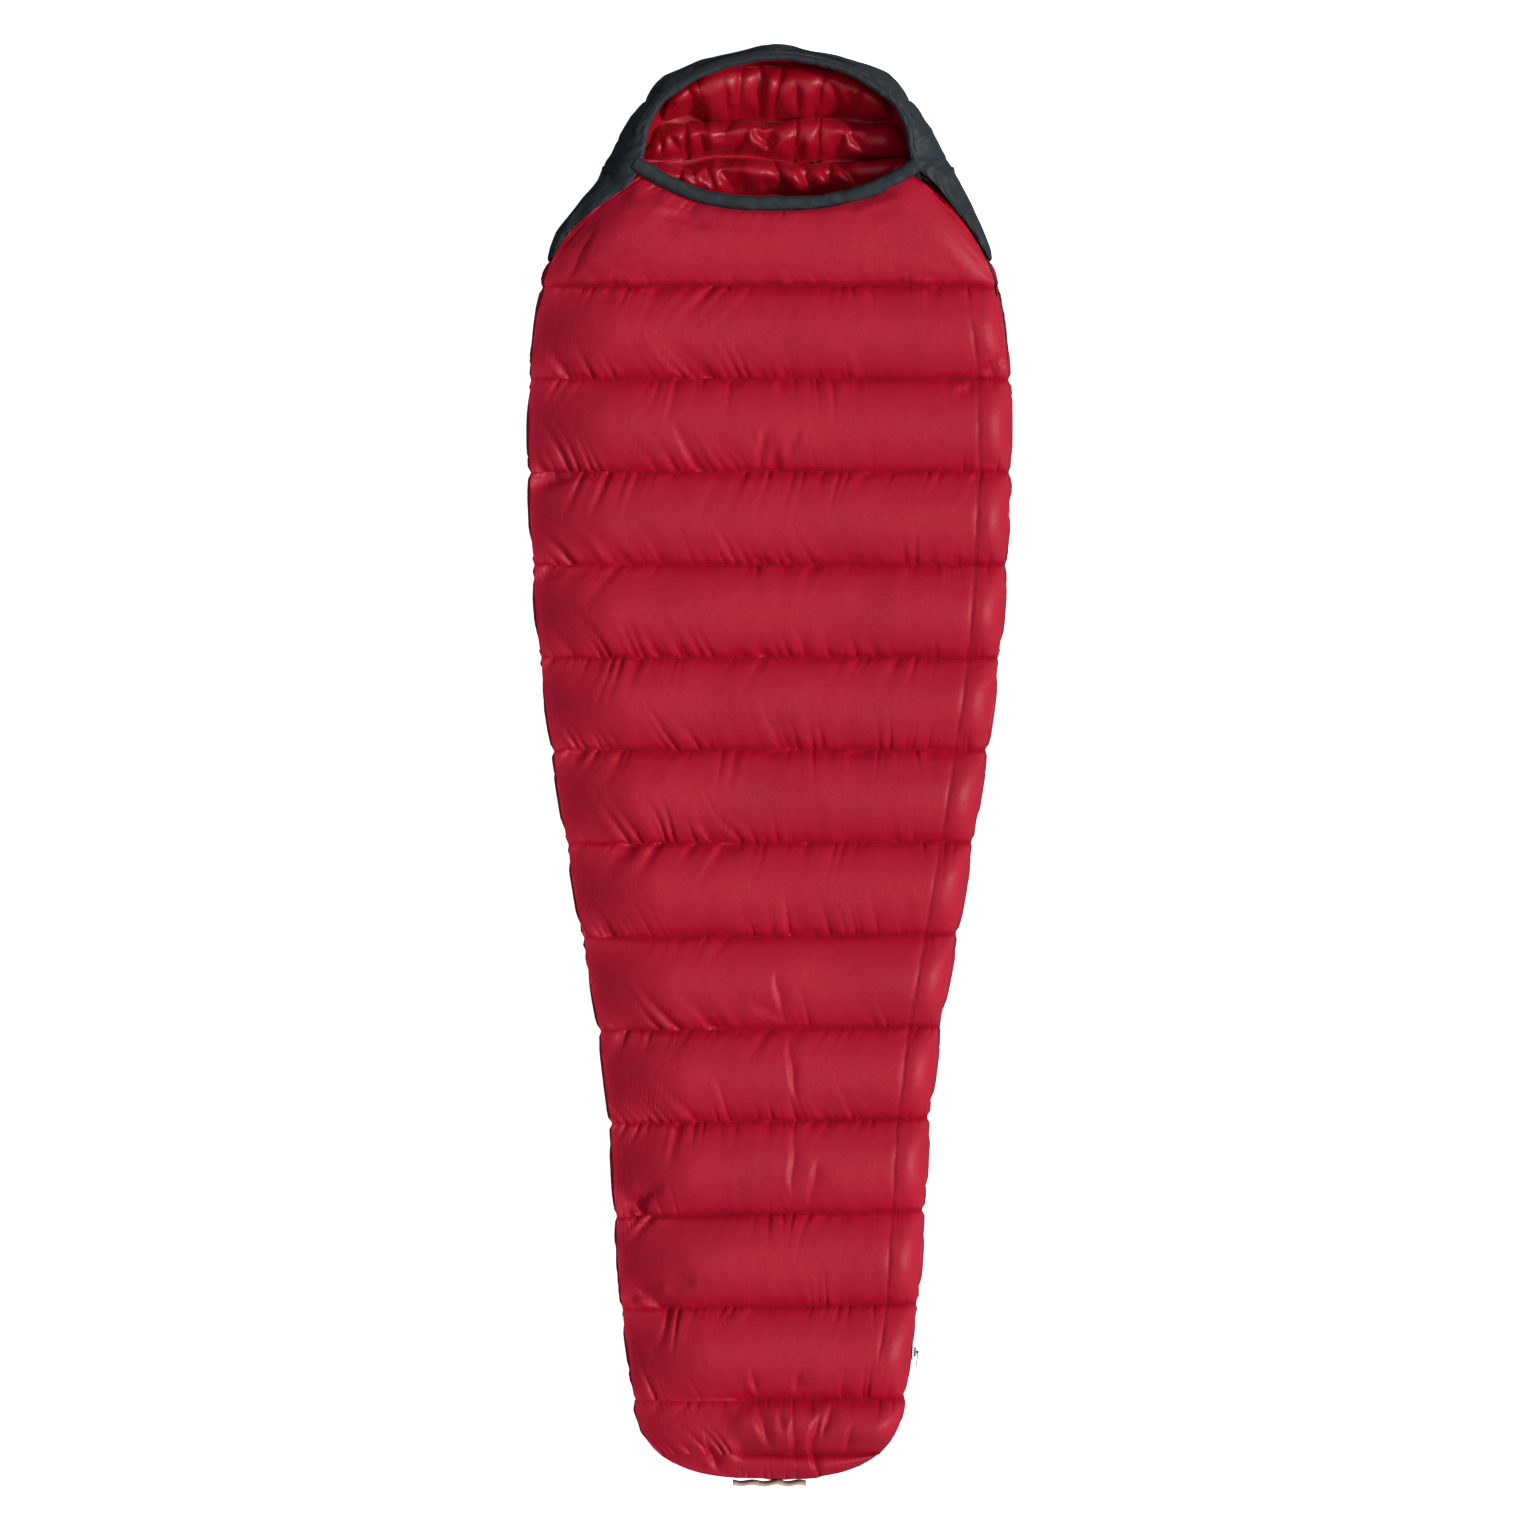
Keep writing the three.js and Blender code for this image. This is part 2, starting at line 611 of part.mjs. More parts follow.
// The zip: a tape and half a coil on each quilt. The front ones part at the fold.
add("zip_tape_back", zipStrip(TAPE_SPAN, zipLow, ZIP.z - ZIP.partGap / 2), "tape");
add("zip_coil_back", zipStrip(COIL_SPAN, ZIP.z - COIL_HALF_HEIGHT, ZIP.z - ZIP.partGap / 2), "coil");
const frontTape = zipStrip(TAPE_SPAN, ZIP.z + ZIP.partGap / 2, zipHigh);
const frontCoil = zipStrip(COIL_SPAN, ZIP.z + ZIP.partGap / 2, ZIP.z + COIL_HALF_HEIGHT);
add("zip_tape_front", fixedSide(frontTape), "tape");
add("zip_tape_flap", flapSide(frontTape), "tape");
add("zip_coil_front", fixedSide(frontCoil), "coil");
add("zip_coil_flap", flapSide(frontCoil), "coil");

const slideRun = [ZIP.straightTop[0] - ZIP.bottom[0], ZIP.straightTop[1] - ZIP.bottom[1]];
const SLIDERS = {
  top: { at: arcPoint(zipStartAngle - 0.03), angle: zipStartAngle - 0.03 },
  foot: { at: mix(ZIP.bottom, ZIP.straightTop, 0.03), angle: Math.atan2(slideRun[1], slideRun[0]) - Math.PI / 2 },
};
for (const [end, { at, angle }] of Object.entries(SLIDERS)) {
  const slider = meshOf("zip_slider_" + end, sliderBody(), "slider");
  const pull = meshOf("zip_pull_" + end, pullTab(), "slider");
  pull.position.x = SLIDER.pivot;
  bag.add(zipFrame(at, angle, [slider, pull]));
}

// The insulated tube behind the zip, in the flap and below it.
const tubePath = zipPath.slice(3, -1);
const tube = sweep(tubePath, roundProfile(-DRAFT_TUBE.inset, DRAFT_TUBE.z, DRAFT_TUBE.radius, 8));
add("draft_tube", fixedSide(tube), "lining");
add("draft_tube_flap", flapSide(tube), "lining");

// The drawcord's lock, with its spring and its button.
const { floor, base, bore, height } = CORDLOCK;
const cordHole = toManifold(new THREE.CylinderGeometry(1.9, 1.9, 60, 12)).translate([0, 0, 15.6]);
const place = (name, solid, slot) => {
  const mesh = meshOf(name, solid, slot);
  mesh.position.set(CORDLOCK.x, CORDLOCK.y, floor);
  bag.add(mesh);
};
place("cordlock_body", turned(cordlockProfile(CORDLOCK), 24).subtract(cordHole), "plastic");
const springRing = [[3.3, base + 0.4], [4.5, base + 0.4], [4.5, 11], [3.3, 11], [3.3, base + 0.4]];
place("cordlock_spring", turned(springRing, 16), "spring");
const buttonProfile = [[0, 11.4], [bore - 0.4, 11.4], [bore - 0.4, height + 4.5], [0, height + 6]];
place("cordlock_button", turned(buttonProfile, 20), "plastic");

add("foot_hang_loop", boxAt([105, 1.6, 13], [0, LAST_SEAM_Y - FOOT_LENGTH - 1.6, 96]), "loop");

export default bag;
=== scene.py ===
"""The looks of a zipped mummy sleeping bag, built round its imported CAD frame.

Metres, in the frame's own axes: +X is the zip side, +Y the head, +Z up. The quilts are grids of
points that Blender's cloth inflates between their seams, and each grid is then cut into its
separate chambers.
"""

import math

import bpy
import numpy as np
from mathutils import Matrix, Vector


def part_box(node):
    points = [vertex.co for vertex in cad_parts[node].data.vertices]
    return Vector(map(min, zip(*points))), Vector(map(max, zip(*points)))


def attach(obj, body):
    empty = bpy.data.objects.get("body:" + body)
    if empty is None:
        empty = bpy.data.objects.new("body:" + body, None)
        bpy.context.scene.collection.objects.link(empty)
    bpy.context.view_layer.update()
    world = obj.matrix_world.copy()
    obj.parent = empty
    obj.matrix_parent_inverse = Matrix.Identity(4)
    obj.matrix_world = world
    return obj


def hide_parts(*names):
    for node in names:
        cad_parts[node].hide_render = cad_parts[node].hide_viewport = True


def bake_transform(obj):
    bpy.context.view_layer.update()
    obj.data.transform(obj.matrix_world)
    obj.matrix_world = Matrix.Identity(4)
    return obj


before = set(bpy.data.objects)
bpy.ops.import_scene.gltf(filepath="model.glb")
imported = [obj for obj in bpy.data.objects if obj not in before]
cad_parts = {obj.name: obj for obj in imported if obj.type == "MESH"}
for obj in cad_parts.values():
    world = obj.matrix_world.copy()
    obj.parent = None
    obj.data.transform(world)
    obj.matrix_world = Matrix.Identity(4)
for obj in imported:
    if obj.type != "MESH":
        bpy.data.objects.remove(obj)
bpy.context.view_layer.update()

MM = 0.001


def add_object(name, data):
    thing = bpy.data.objects.new(name, data)
    bpy.context.scene.collection.objects.link(thing)
    return thing


# ---- Camera first, straight above the middle of the bag ----

PICTURE_SPAN = 2.194  # what the square picture covers at the height of the quilt
QUILT_HEIGHT = 0.12
VIEW_CENTRE_Y = -0.0093


def add_camera():
    data = bpy.data.cameras.new("camera")
    data.lens = 300
    data.sensor_width = 36
    data.clip_end = 200
    camera = add_object("camera", data)
    distance = PICTURE_SPAN * data.lens / data.sensor_width
    camera.location = (0, VIEW_CENTRE_Y, QUILT_HEIGHT + distance)
    bpy.context.scene.camera = camera


add_camera()

# ---- Driving dimensions ----

HALF_GAP = 0.2 * MM
BAFFLES = sum(name.startswith("back_baffle_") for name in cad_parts)
NECK_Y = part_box("neck_baffle_back")[1].y
FOOT_END_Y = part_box("foot_box_back")[0].y

EDGE_INSET = 2 * MM  # of the front quilt's edge from the widest line of the wall below it
HEM_INSET = 6.5 * MM  # where the front and back quilts meet, inside of that line
EDGE_Z = 109 * MM  # of the top quilt's edge
SEAM_Z = 115 * MM  # of its seams
SEAM_GROOVE = 3 * MM  # how deep the thread draws a seam in
PUFF = 34 * MM  # how high a chamber stands over its seams
DOME = 4 * MM  # how much higher the middle is than the sides
GATHER_HEIGHT = 1.6 * MM
LEFT_BAND = 115 * MM  # the width over which the quilt curves down to its left edge
RIGHT_BAND = 32 * MM
SHOULDER_BAND = 50 * MM
SHOULDER_Y = 660 * MM
YOKE_Z = 121 * MM  # of the quilt under the chin
TOP_Z = 158.5 * MM  # the highest and lowest that the top quilt's outside may lie
LOWEST_TOP_Z = 104 * MM
WALL_Z = 56 * MM  # where the wall of the back quilt is widest

ARC_CENTRE = (52.6 * MM, 594.8 * MM)  # of the zip's arc round the right shoulder
ARC_RADIUS = 285.4 * MM
ARC_TOP_Y = 838 * MM
ARC_GAP = 1.5 * MM  # between the quilt's edge and the arc
CHIN_BAND = 21 * MM
CHIN_ENDS = (-206.5 * MM, 203.5 * MM)
CHIN_Y = 808 * MM  # of the chin rim at the centre line
CHIN_RISE = 46 * MM  # from there to CHIN_REACH
CHIN_REACH = 190 * MM
HOOD_SHIFT = 11 * MM  # towards the zip side, at the head end
HOOD_SHIFT_Y = 740 * MM
HOOD_HALF_WIDTH = 215 * MM
FOOT_HALF_WIDTH = 194 * MM
CAP_SEAM_Y = -986 * MM
CAP_HALF_WIDTH = 157 * MM
CAP_SEAM_START = -65 * MM

# The hood from the right shoulder to the crown: its outline on the ground plan, and its inner
# edge, which follows the shoulder seam and then the face opening.
HOOD_OUTLINE = [
    (318, 719), (304, 756), (286, 797), (265, 838), (256, 856), (240, 883), (225, 908),
    (200, 948), (176, 977), (140, 993), (95, 1006), (48, 1016), (0, 1025),
]
FACE_EDGE = [
    (206, 853), (198, 878), (193, 905), (175, 938), (158, 952), (128, 972), (90, 988),
    (46, 999), (0, 1004),
]
SHOULDER_SEAM_Y = (722, 756, 790, 826)
PANEL_SEAM = 7  # the place in HOOD_OUTLINE where a side panel meets the crown panel


def smoothstep(t):
    t = np.clip(t, 0, 1)
    return t * t * (3 - 2 * t)


def lerp(a, b, t):
    return a + (b - a) * t


# ---- Noise, always the same ----

NOISE_SIZE = 128


def noise(x, y, seed):
    """Smooth value noise between -1 and 1, with one knot per unit."""
    table = np.random.default_rng(seed).uniform(-1, 1, (NOISE_SIZE, NOISE_SIZE))
    x, y = np.broadcast_arrays(np.asarray(x, float), np.asarray(y, float))
    ix, iy = np.floor(x).astype(int), np.floor(y).astype(int)
    fx, fy = smoothstep(x - ix), smoothstep(y - iy)
    at = lambda i, j: table[(ix + i) % NOISE_SIZE, (iy + j) % NOISE_SIZE]
    return lerp(lerp(at(0, 0), at(1, 0), fx), lerp(at(0, 1), at(1, 1), fx), fy)


# ---- Outlines ----


def node_points(node):
    """The corners of a CAD node's mesh."""
    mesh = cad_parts[node].data
    points = np.zeros(len(mesh.vertices) * 3, np.float32)
    mesh.vertices.foreach_get("co", points)
    return points.reshape(-1, 3).astype(float)


def wall_profile():
    """The body's half-width along its length, from the left wall of the back quilt."""
    walls = [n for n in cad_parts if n.startswith(("back_baffle_", "neck_baffle_"))]
    points = np.concatenate([node_points(n) for n in walls])
    widest = points[(abs(points[:, 2] - WALL_Z) < MM) & (points[:, 0] < 0)]
    widest = widest[widest[:, 1].argsort()]
    return widest[:, 1], -widest[:, 0]


WALL_Y, WALL_X = wall_profile()


def half_width(y):
    """The body's half-width at y."""
    return np.interp(y, WALL_Y, WALL_X)


def seam_level(k):
    """The y of seam k: seam 0 is the yoke's, and seam BAFFLES is the foot box's."""
    if k == 0:
        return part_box("back_baffle_01")[1].y + HALF_GAP
    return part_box(f"back_baffle_{k:02d}")[0].y - HALF_GAP


SEAM_Y = [seam_level(k) for k in range(BAFFLES + 1)]
FOOT_Y = SEAM_Y[-1]
SEAM_TILT = 12 * MM  # how much lower the left end of the lower seams lies
TILT_SPAN = 0.6
FIRST_TILTED = 5  # the seam below which the tilt sets in


def seam_tilt(k):
    return SEAM_TILT * min(1, max(0, (k - FIRST_TILTED) / 4))


def seam_line(k, x):
    """A seam's y at x, with its tilt and the waviness of a gathered seam."""
    tilt = seam_tilt(k) * (x / TILT_SPAN)
    if k == BAFFLES:
        tilt = tilt * 0.6
    return SEAM_Y[k] + tilt + 1.3 * MM * noise(x / 0.022 + 50, k * 3.0, 11)


def arc_x(y, offset=0.0):
    """The x of the zip's shoulder arc at y, on a radius larger by an offset."""
    rise = y - ARC_CENTRE[1]
    return ARC_CENTRE[0] + np.sqrt(np.maximum(0, (ARC_RADIUS + offset) ** 2 - rise**2))


def chin_y(x):
    """The chin rim's y at x: a shallow bowl that is lowest at the centre line."""
    return CHIN_Y + CHIN_RISE * np.abs(x / CHIN_REACH) ** 2.6


def foot_x(y):
    """The foot outline's half-width at y."""
    depth = np.clip((FOOT_Y - y) / (FOOT_Y - FOOT_END_Y), 0, 1)
    return FOOT_HALF_WIDTH * (1 - depth**2) ** (1 / 3)


def foot_y(x):
    """The foot outline's y at x."""
    reach = np.clip(np.abs(x) / FOOT_HALF_WIDTH, 0, 1)
    return FOOT_Y - (FOOT_Y - FOOT_END_Y) * np.sqrt(1 - reach**3)


def catmull(points, t):
    """A smooth curve through the points, at fractional indices t."""
    points = np.asarray(points, float)
    t = np.asarray(t, float)
    i = np.clip(np.floor(t).astype(int), 0, len(points) - 2)
    f = (t - i).reshape(t.shape + (1,) * (points.ndim - 1))
    at = lambda j: points[np.clip(i + j, 0, len(points) - 1)]
    a, b, c, d = at(-1), at(0), at(1), at(2)
    return b + 0.5 * f * (c - a + f * (2 * a - 5 * b + 4 * c - d + f * (3 * (b - c) + d - a)))


def raised(path, z=0):
    """A path or grid of [x, y] points, as [x, y, z]."""
    return np.concatenate([path, np.full(path.shape[:-1] + (1,), float(z))], -1)


def along(path, step):
    """The path's points at equal steps."""
    path = np.asarray(path, float)
    run = np.concatenate([[0], np.cumsum(np.linalg.norm(np.diff(path, axis=0), axis=1))])
    count = max(2, int(round(run[-1] / step)) + 1)
    at = np.linspace(0, run[-1], count)
    return np.stack([np.interp(at, run, path[:, k]) for k in range(path.shape[1])], 1)


# ---- Materials ----


def new_material(name):
    material = bpy.data.materials.new(name)
    material.use_nodes = True
    return material, material.node_tree, material.node_tree.nodes["Principled BSDF"]


def add_node(tree, kind, inputs=(), **settings):
    node = tree.nodes.new(kind)
    for key, value in settings.items():
        setattr(node, key, value)
    for socket, value in dict(inputs).items():
        if isinstance(value, bpy.types.NodeSocket):
            tree.links.new(value, node.inputs[socket])
        else:
            node.inputs[socket].default_value = value
    return node


def linear(srgb):
    """An sRGB colour, 0 to 255, as the linear colour that shaders take."""
    share = [c / 255 for c in srgb]
    return [s / 12.92 if s <= 0.04045 else ((s + 0.055) / 1.055) ** 2.4 for s in share] + [1]


def scaled(colour, factor):
    return [c * factor for c in colour[:3]] + [1]


def coloured(tree, shader, factor, base, positions, shares):
    """The base colour, darker and lighter by shares, between two positions of a factor."""
    ramp = add_node(tree, "ShaderNodeValToRGB", {"Fac": factor})
    for element, position, share in zip(ramp.color_ramp.elements, positions, shares):
        element.position = position
        element.color = scaled(base, share)
    tree.links.new(ramp.outputs["Color"], shader.inputs["Base Color"])


def roughened(tree, shader, factor, low, high):
    span = {"Value": factor, "To Min": low, "To Max": high}
    rough = add_node(tree, "ShaderNodeMapRange", span)
    tree.links.new(rough.outputs["Result"], shader.inputs["Roughness"])


def added(tree, first, second):
    inputs = {0: first.outputs["Fac"], 1: second.outputs["Fac"]}
    return add_node(tree, "ShaderNodeMath", inputs, operation="ADD").outputs[0]


WAVE_SCALE = 0.314  # a wave texture's scale for bands one metre apart
BROAD_SCALE = 9.0  # of the slow changes of colour
FINE_SCALE = 900.0
CRUMPLE_SCALE = 70.0


def fabric(name, srgb, roughness, sheen, thread, spread=0.10, crinkle=0.25, specular=0.4):
    """A woven cloth: fine threads, small crinkles, and a colour that varies a little."""
    material, tree, shader = new_material(name)
    place = add_node(tree, "ShaderNodeTexCoord").outputs["Object"]

    def clouds(scale, **inputs):
        inputs.update(Vector=place, Scale=scale)
        return add_node(tree, "ShaderNodeTexNoise", inputs)

    def waves(direction):
        inputs = {"Vector": place, "Scale": WAVE_SCALE / thread}
        return add_node(tree, "ShaderNodeTexWave", inputs, bands_direction=direction)

    broad = clouds(BROAD_SCALE, Detail=4.0)
    mixed = added(tree, broad, clouds(FINE_SCALE, Detail=2.0))
    coloured(tree, shader, mixed, linear(srgb), (0.7, 1.0), (1 - spread, 1 + spread))

    weave = added(tree, waves("X"), waves("Y"))
    crumple = clouds(CRUMPLE_SCALE, Detail=5.0, Roughness=0.6)
    low = {"Height": crumple.outputs["Fac"], "Strength": crinkle, "Distance": 0.004}
    normal = add_node(tree, "ShaderNodeBump", low).outputs["Normal"]
    high = {"Height": weave, "Strength": 0.12, "Distance": 0.3 * thread, "Normal": normal}
    bump = add_node(tree, "ShaderNodeBump", high)
    tree.links.new(bump.outputs["Normal"], shader.inputs["Normal"])
    roughened(tree, shader, broad.outputs["Fac"], roughness - 0.06, roughness + 0.06)
    shader.inputs["Sheen Weight"].default_value = sheen
    shader.inputs["Sheen Roughness"].default_value = 0.4
    shader.inputs["Specular IOR Level"].default_value = specular
    return material


def hard(name, srgb, roughness, metallic, grain):
    """Metal or moulded plastic with fine scuffs."""
    material, tree, shader = new_material(name)
    place = add_node(tree, "ShaderNodeTexCoord").outputs["Object"]
    noise_inputs = {"Vector": place, "Scale": grain, "Detail": 6.0}
    scuffs = add_node(tree, "ShaderNodeTexNoise", noise_inputs).outputs["Fac"]
    coloured(tree, shader, scuffs, linear(srgb), (0.35, 0.7), (0.8, 1.25))
    roughened(tree, shader, scuffs, roughness - 0.1, roughness + 0.15)
    bump = add_node(tree, "ShaderNodeBump", {"Height": scuffs, "Strength": 0.1, "Distance": 0.0002})
    tree.links.new(bump.outputs["Normal"], shader.inputs["Normal"])
    shader.inputs["Metallic"].default_value = metallic
    return material


SHELL = fabric("shell_nylon", (186, 5, 46), 0.52, 0.02, 0.6 * MM, specular=0.38)
CHARCOAL = fabric("charcoal_nylon", (38, 47, 53), 0.55, 0.04, 0.6 * MM, specular=0.35)
LINING = fabric("lining_nylon", (178, 4, 36), 0.40, 0.02, 0.5 * MM, crinkle=0.2, specular=0.5)
THREAD = fabric("sewing_thread", (168, 40, 58), 0.6, 0.2, 0.3 * MM, crinkle=0.0)
TAPE = fabric("zip_tape", (34, 38, 42), 0.8, 0.3, 0.8 * MM, crinkle=0.05)
LOOP = fabric("loop_tape", (226, 216, 194), 0.8, 0.3, 1.2 * MM, crinkle=0.05)
CORD = fabric("drawcord", (32, 35, 38), 0.8, 0.3, 1.0 * MM, crinkle=0.1)
COIL = hard("zip_coil", (24, 27, 30), 0.4, 0.0, 400)
METAL = hard("slider_metal", (92, 96, 100), 0.35, 0.9, 500)
PLASTIC = hard("cordlock_plastic", (28, 30, 33), 0.45, 0.0, 600)
STEEL = hard("spring_steel", (190, 194, 200), 0.28, 1.0, 500)


# ---- Meshes ----


def grid_faces(rows, columns, first=0):
    """Quads over a grid whose rows run down and whose columns run right, facing the viewer."""
    index = first + np.arange(rows * columns).reshape(rows, columns)
    quads = [index[:-1, :-1], index[1:, :-1], index[1:, 1:], index[:-1, 1:]]
    return np.stack(quads, -1).reshape(-1, 4).tolist()


def ring_faces(count, rings, first=0):
    """Quads between each ring of count points and the next."""
    faces = []
    for start in range(first, first + count * (rings - 1), count):
        for j in range(count):
            a, b = start + j, start + (j + 1) % count
            faces.append([a, b, b + count, a + count])
    return faces


def end_faces(count, rings, first=0):
    """The two caps of a stack of rings."""
    last = first + count * (rings - 1)
    return [list(range(first, first + count))[::-1], list(range(last, last + count))]


def volume_of(points, faces):
    """Six times the volume inside the faces, which is negative when they point in."""
    triangles = np.array([(f[0], f[i], f[i + 1]) for f in faces for i in range(1, len(f) - 1)])
    a, b, c = (points[triangles[:, i]] for i in range(3))
    return float((a * np.cross(b, c)).sum())


def make_piece(name, points, faces, materials, material_of=None, sharp=()):
    """A smooth mesh object whose faces point out, with hard edges between the points in sharp."""
    points = np.asarray(points, float)
    if volume_of(points, faces) < 0:
        faces = [face[::-1] for face in faces]
    mesh = bpy.data.meshes.new(name)
    mesh.from_pydata(points.tolist(), [], faces)
    for material in materials:
        mesh.materials.append(material)
    if material_of is not None:
        mesh.polygons.foreach_set("material_index", material_of)
    mesh.polygons.foreach_set("use_smooth", [True] * len(mesh.polygons))
    if len(sharp):
        on_border = np.zeros(len(points), bool)
        on_border[list(sharp)] = True
        ends = np.zeros(len(mesh.edges) * 2, int)
        mesh.edges.foreach_get("vertices", ends)
        hard_edge = on_border[ends.reshape(-1, 2)].all(axis=1)
        mesh.attributes.new("sharp_edge", "BOOLEAN", "EDGE").data.foreach_set("value", hard_edge)
    mesh.update()
    return add_object(name, mesh)


def pad(name, outer, inner, outer_material, inner_material):
    """A closed pad between an outer grid and an inner grid with the same number of columns."""
    rows, columns = outer.shape[:2]
    inner_rows = inner.shape[0]
    first = rows * columns
    points = np.concatenate([outer.reshape(-1, 3), inner.reshape(-1, 3)])
    o = np.arange(first).reshape(rows, columns)
    n = first + np.arange(inner_rows * columns).reshape(inner_rows, columns)
    faces = grid_faces(rows, columns)
    outer_count = len(faces)
    faces += [face[::-1] for face in grid_faces(inner_rows, columns, first)]
    inner_count = len(faces) - outer_count
    for c in range(columns - 1):
        faces.append([int(o[0, c]), int(o[0, c + 1]), int(n[0, c + 1]), int(n[0, c])])
        faces.append([int(o[-1, c + 1]), int(o[-1, c]), int(n[-1, c]), int(n[-1, c + 1])])
    faces.append([int(i) for i in n[:, 0]] + [int(i) for i in o[::-1, 0]])
    faces.append([int(i) for i in o[:, -1]] + [int(i) for i in n[::-1, -1]])
    side_count = len(faces) - outer_count - inner_count
    material_of = [0] * outer_count + [1] * inner_count + [0] * side_count
    border = [edge for grid in (o, n) for edge in (grid[0], grid[-1], grid[:, 0], grid[:, -1])]
    border = np.concatenate(border).tolist()
    return make_piece(name, points, faces, [outer_material, inner_material], material_of, border)


def tube(name, path, section, material, scale=None):
    """A closed sweep of an [outward, up] section along a level path of [x, y, z] points.

    scale(i, section) may change the section at each step.
    """
    path = np.asarray(path, float)
    ahead = np.gradient(path, axis=0)
    ahead[:, 2] = 0
    ahead /= np.linalg.norm(ahead, axis=1)[:, None]
    outward = np.stack([ahead[:, 1], -ahead[:, 0], np.zeros(len(path))], 1)
    rings = []
    for i, centre in enumerate(path):
        shape = np.asarray(section, float)
        if scale is not None:
            shape = np.asarray(scale(i, shape), float)
        rings.append(centre + shape[:, :1] * outward[i] + shape[:, 1:2] * np.array([0, 0, 1.0]))
    count = len(rings[0])
    caps = end_faces(count, len(rings))
    faces = ring_faces(count, len(rings)) + caps
    return make_piece(name, np.concatenate(rings), faces, [material], sharp=caps[0] + caps[1])


def finish_piece(piece, slot, nodes=(), body="bag", fold=False):
    """Hangs a piece on its body's empty, or bakes its placement in when fold is set, and hides the
    CAD nodes that it stands for. slot, its finish, is not used.
    """
    if fold:
        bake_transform(piece)
    else:
        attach(piece, body)
    if nodes:
        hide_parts(*nodes)
    return piece


# ---- Cloth ----

GROWTH_LEVELS = 12
CLOTH = {
    "quality": 6,
    "mass": 0.3,
    "tension_stiffness": 15,
    "compression_stiffness": 15,
    "shear_stiffness": 5,
    "bending_stiffness": 0.1,
    "tension_damping": 5,
    "compression_damping": 5,
    "shear_damping": 5,
    "air_damping": 1,
    "use_pressure": True,
}


def settle(grid, pins, pressure, growth, frames, cap, facing=1, fullness=None):
    """Inflates a grid of cloth that is a little larger than its pinned seams, for some frames.

    growth is how much larger the cloth is: least and most, where fullness, from 0 to 1, says which.
    No point moves further than cap. facing is -1 when the pressure is to push the other way.
    """
    rows, columns = grid.shape[:2]
    faces = grid_faces(rows, columns)
    if facing < 0:
        faces = [face[::-1] for face in faces]
    mesh = bpy.data.meshes.new("cloth")
    mesh.from_pydata(grid.reshape(-1, 3).tolist(), [], faces)
    cloth = add_object("cloth", mesh)
    held = cloth.vertex_groups.new(name="held")
    held.add([int(i) for i in np.flatnonzero(pins.ravel())], 1.0, "REPLACE")
    modifier = cloth.modifiers.new("cloth", "CLOTH")
    settings = modifier.settings
    for key, value in CLOTH.items():
        setattr(settings, key, value)
    settings.vertex_group_mass = "held"
    settings.uniform_pressure_force = pressure
    settings.shrink_min = -growth[0]
    settings.shrink_max = -growth[1]
    if fullness is not None:
        full = cloth.vertex_groups.new(name="full")
        level = np.clip(np.round(fullness.ravel() * GROWTH_LEVELS), 0, GROWTH_LEVELS)
        for step in range(1, GROWTH_LEVELS + 1):
            members = [int(i) for i in np.flatnonzero(level == step)]
            full.add(members, step / GROWTH_LEVELS, "REPLACE")
        settings.vertex_group_shrink = "full"
    settings.effector_weights.gravity = 0
    modifier.collision_settings.use_collision = False
    modifier.point_cache.frame_start = 1
    modifier.point_cache.frame_end = frames
    scene = bpy.context.scene
    for step in range(1, frames + 1):
        scene.frame_set(step)
    evaluated = cloth.evaluated_get(bpy.context.evaluated_depsgraph_get())
    result = np.zeros(rows * columns * 3, np.float32)
    evaluated.to_mesh().vertices.foreach_get("co", result)
    evaluated.to_mesh_clear()
    scene.frame_set(1)
    bpy.data.objects.remove(cloth)
    bpy.data.meshes.remove(mesh)
    shift = result.reshape(grid.shape).astype(float) - grid
    length = np.linalg.norm(shift, axis=2, keepdims=True)
    return grid + shift * np.minimum(1, cap / np.maximum(length, 1e-9))


def puff_share(v):
    """How high a chamber stands between its seams, at a share v of its width."""
    return 1 - np.abs(2 * v - 1) ** 2.1


def seam_pins(grid, shares):
    """The points that sewing holds: the seam rows, the last row and both edges."""
    held = np.zeros(grid.shape[:2], bool)
    held[shares == 0] = True
    held[-1] = True
    held[:, [0, -1]] = True
    return held


def chamber_starts_of(chambers, count):
    """The first row of each chamber, and the last row of all."""
    return [int(np.flatnonzero(chambers == k)[0]) for k in range(count)] + [len(chambers) - 1]


def few_rows(outer, count):
    """Some rows of a grid, evenly spread, with its first and last."""
    return np.linspace(0, len(outer) - 1, count).round().astype(int)


def cut_chambers(surface, starts, nodes, ending, inner_of, outside=None):
    """Each chamber of a surface as a pad, with its node, in order."""
    for node, start, end in zip(nodes, starts[:-1], starts[1:]):
        outer = surface[start : end + 1]
        yield node, pad(node + ending, outer, inner_of(node, outer), outside or SHELL, LINING)


# ---- Front quilt ----

COLUMNS = 150
ROWS = 22  # of each full baffle
REFINE = 2  # how many times finer the finished surface is, across
YOKE_ROWS = 26
YOKE_HALF_WIDTH = 203 * MM
FOOT_ROWS = 14
CAP_ROWS = 7


def spread_columns(count, crowding):
    """Shares from -1 to 1, closer together near both ends."""
    even = np.linspace(-1, 1, count + 1)
    return np.sign(even) * (1 - (1 - np.abs(even)) ** crowding)


def spread_rows(count):
    """Shares from 0 to 1, closer together near both seams."""
    return (spread_columns(count, 1.3) + 1) / 2


ACROSS = spread_columns(COLUMNS, 1.25)


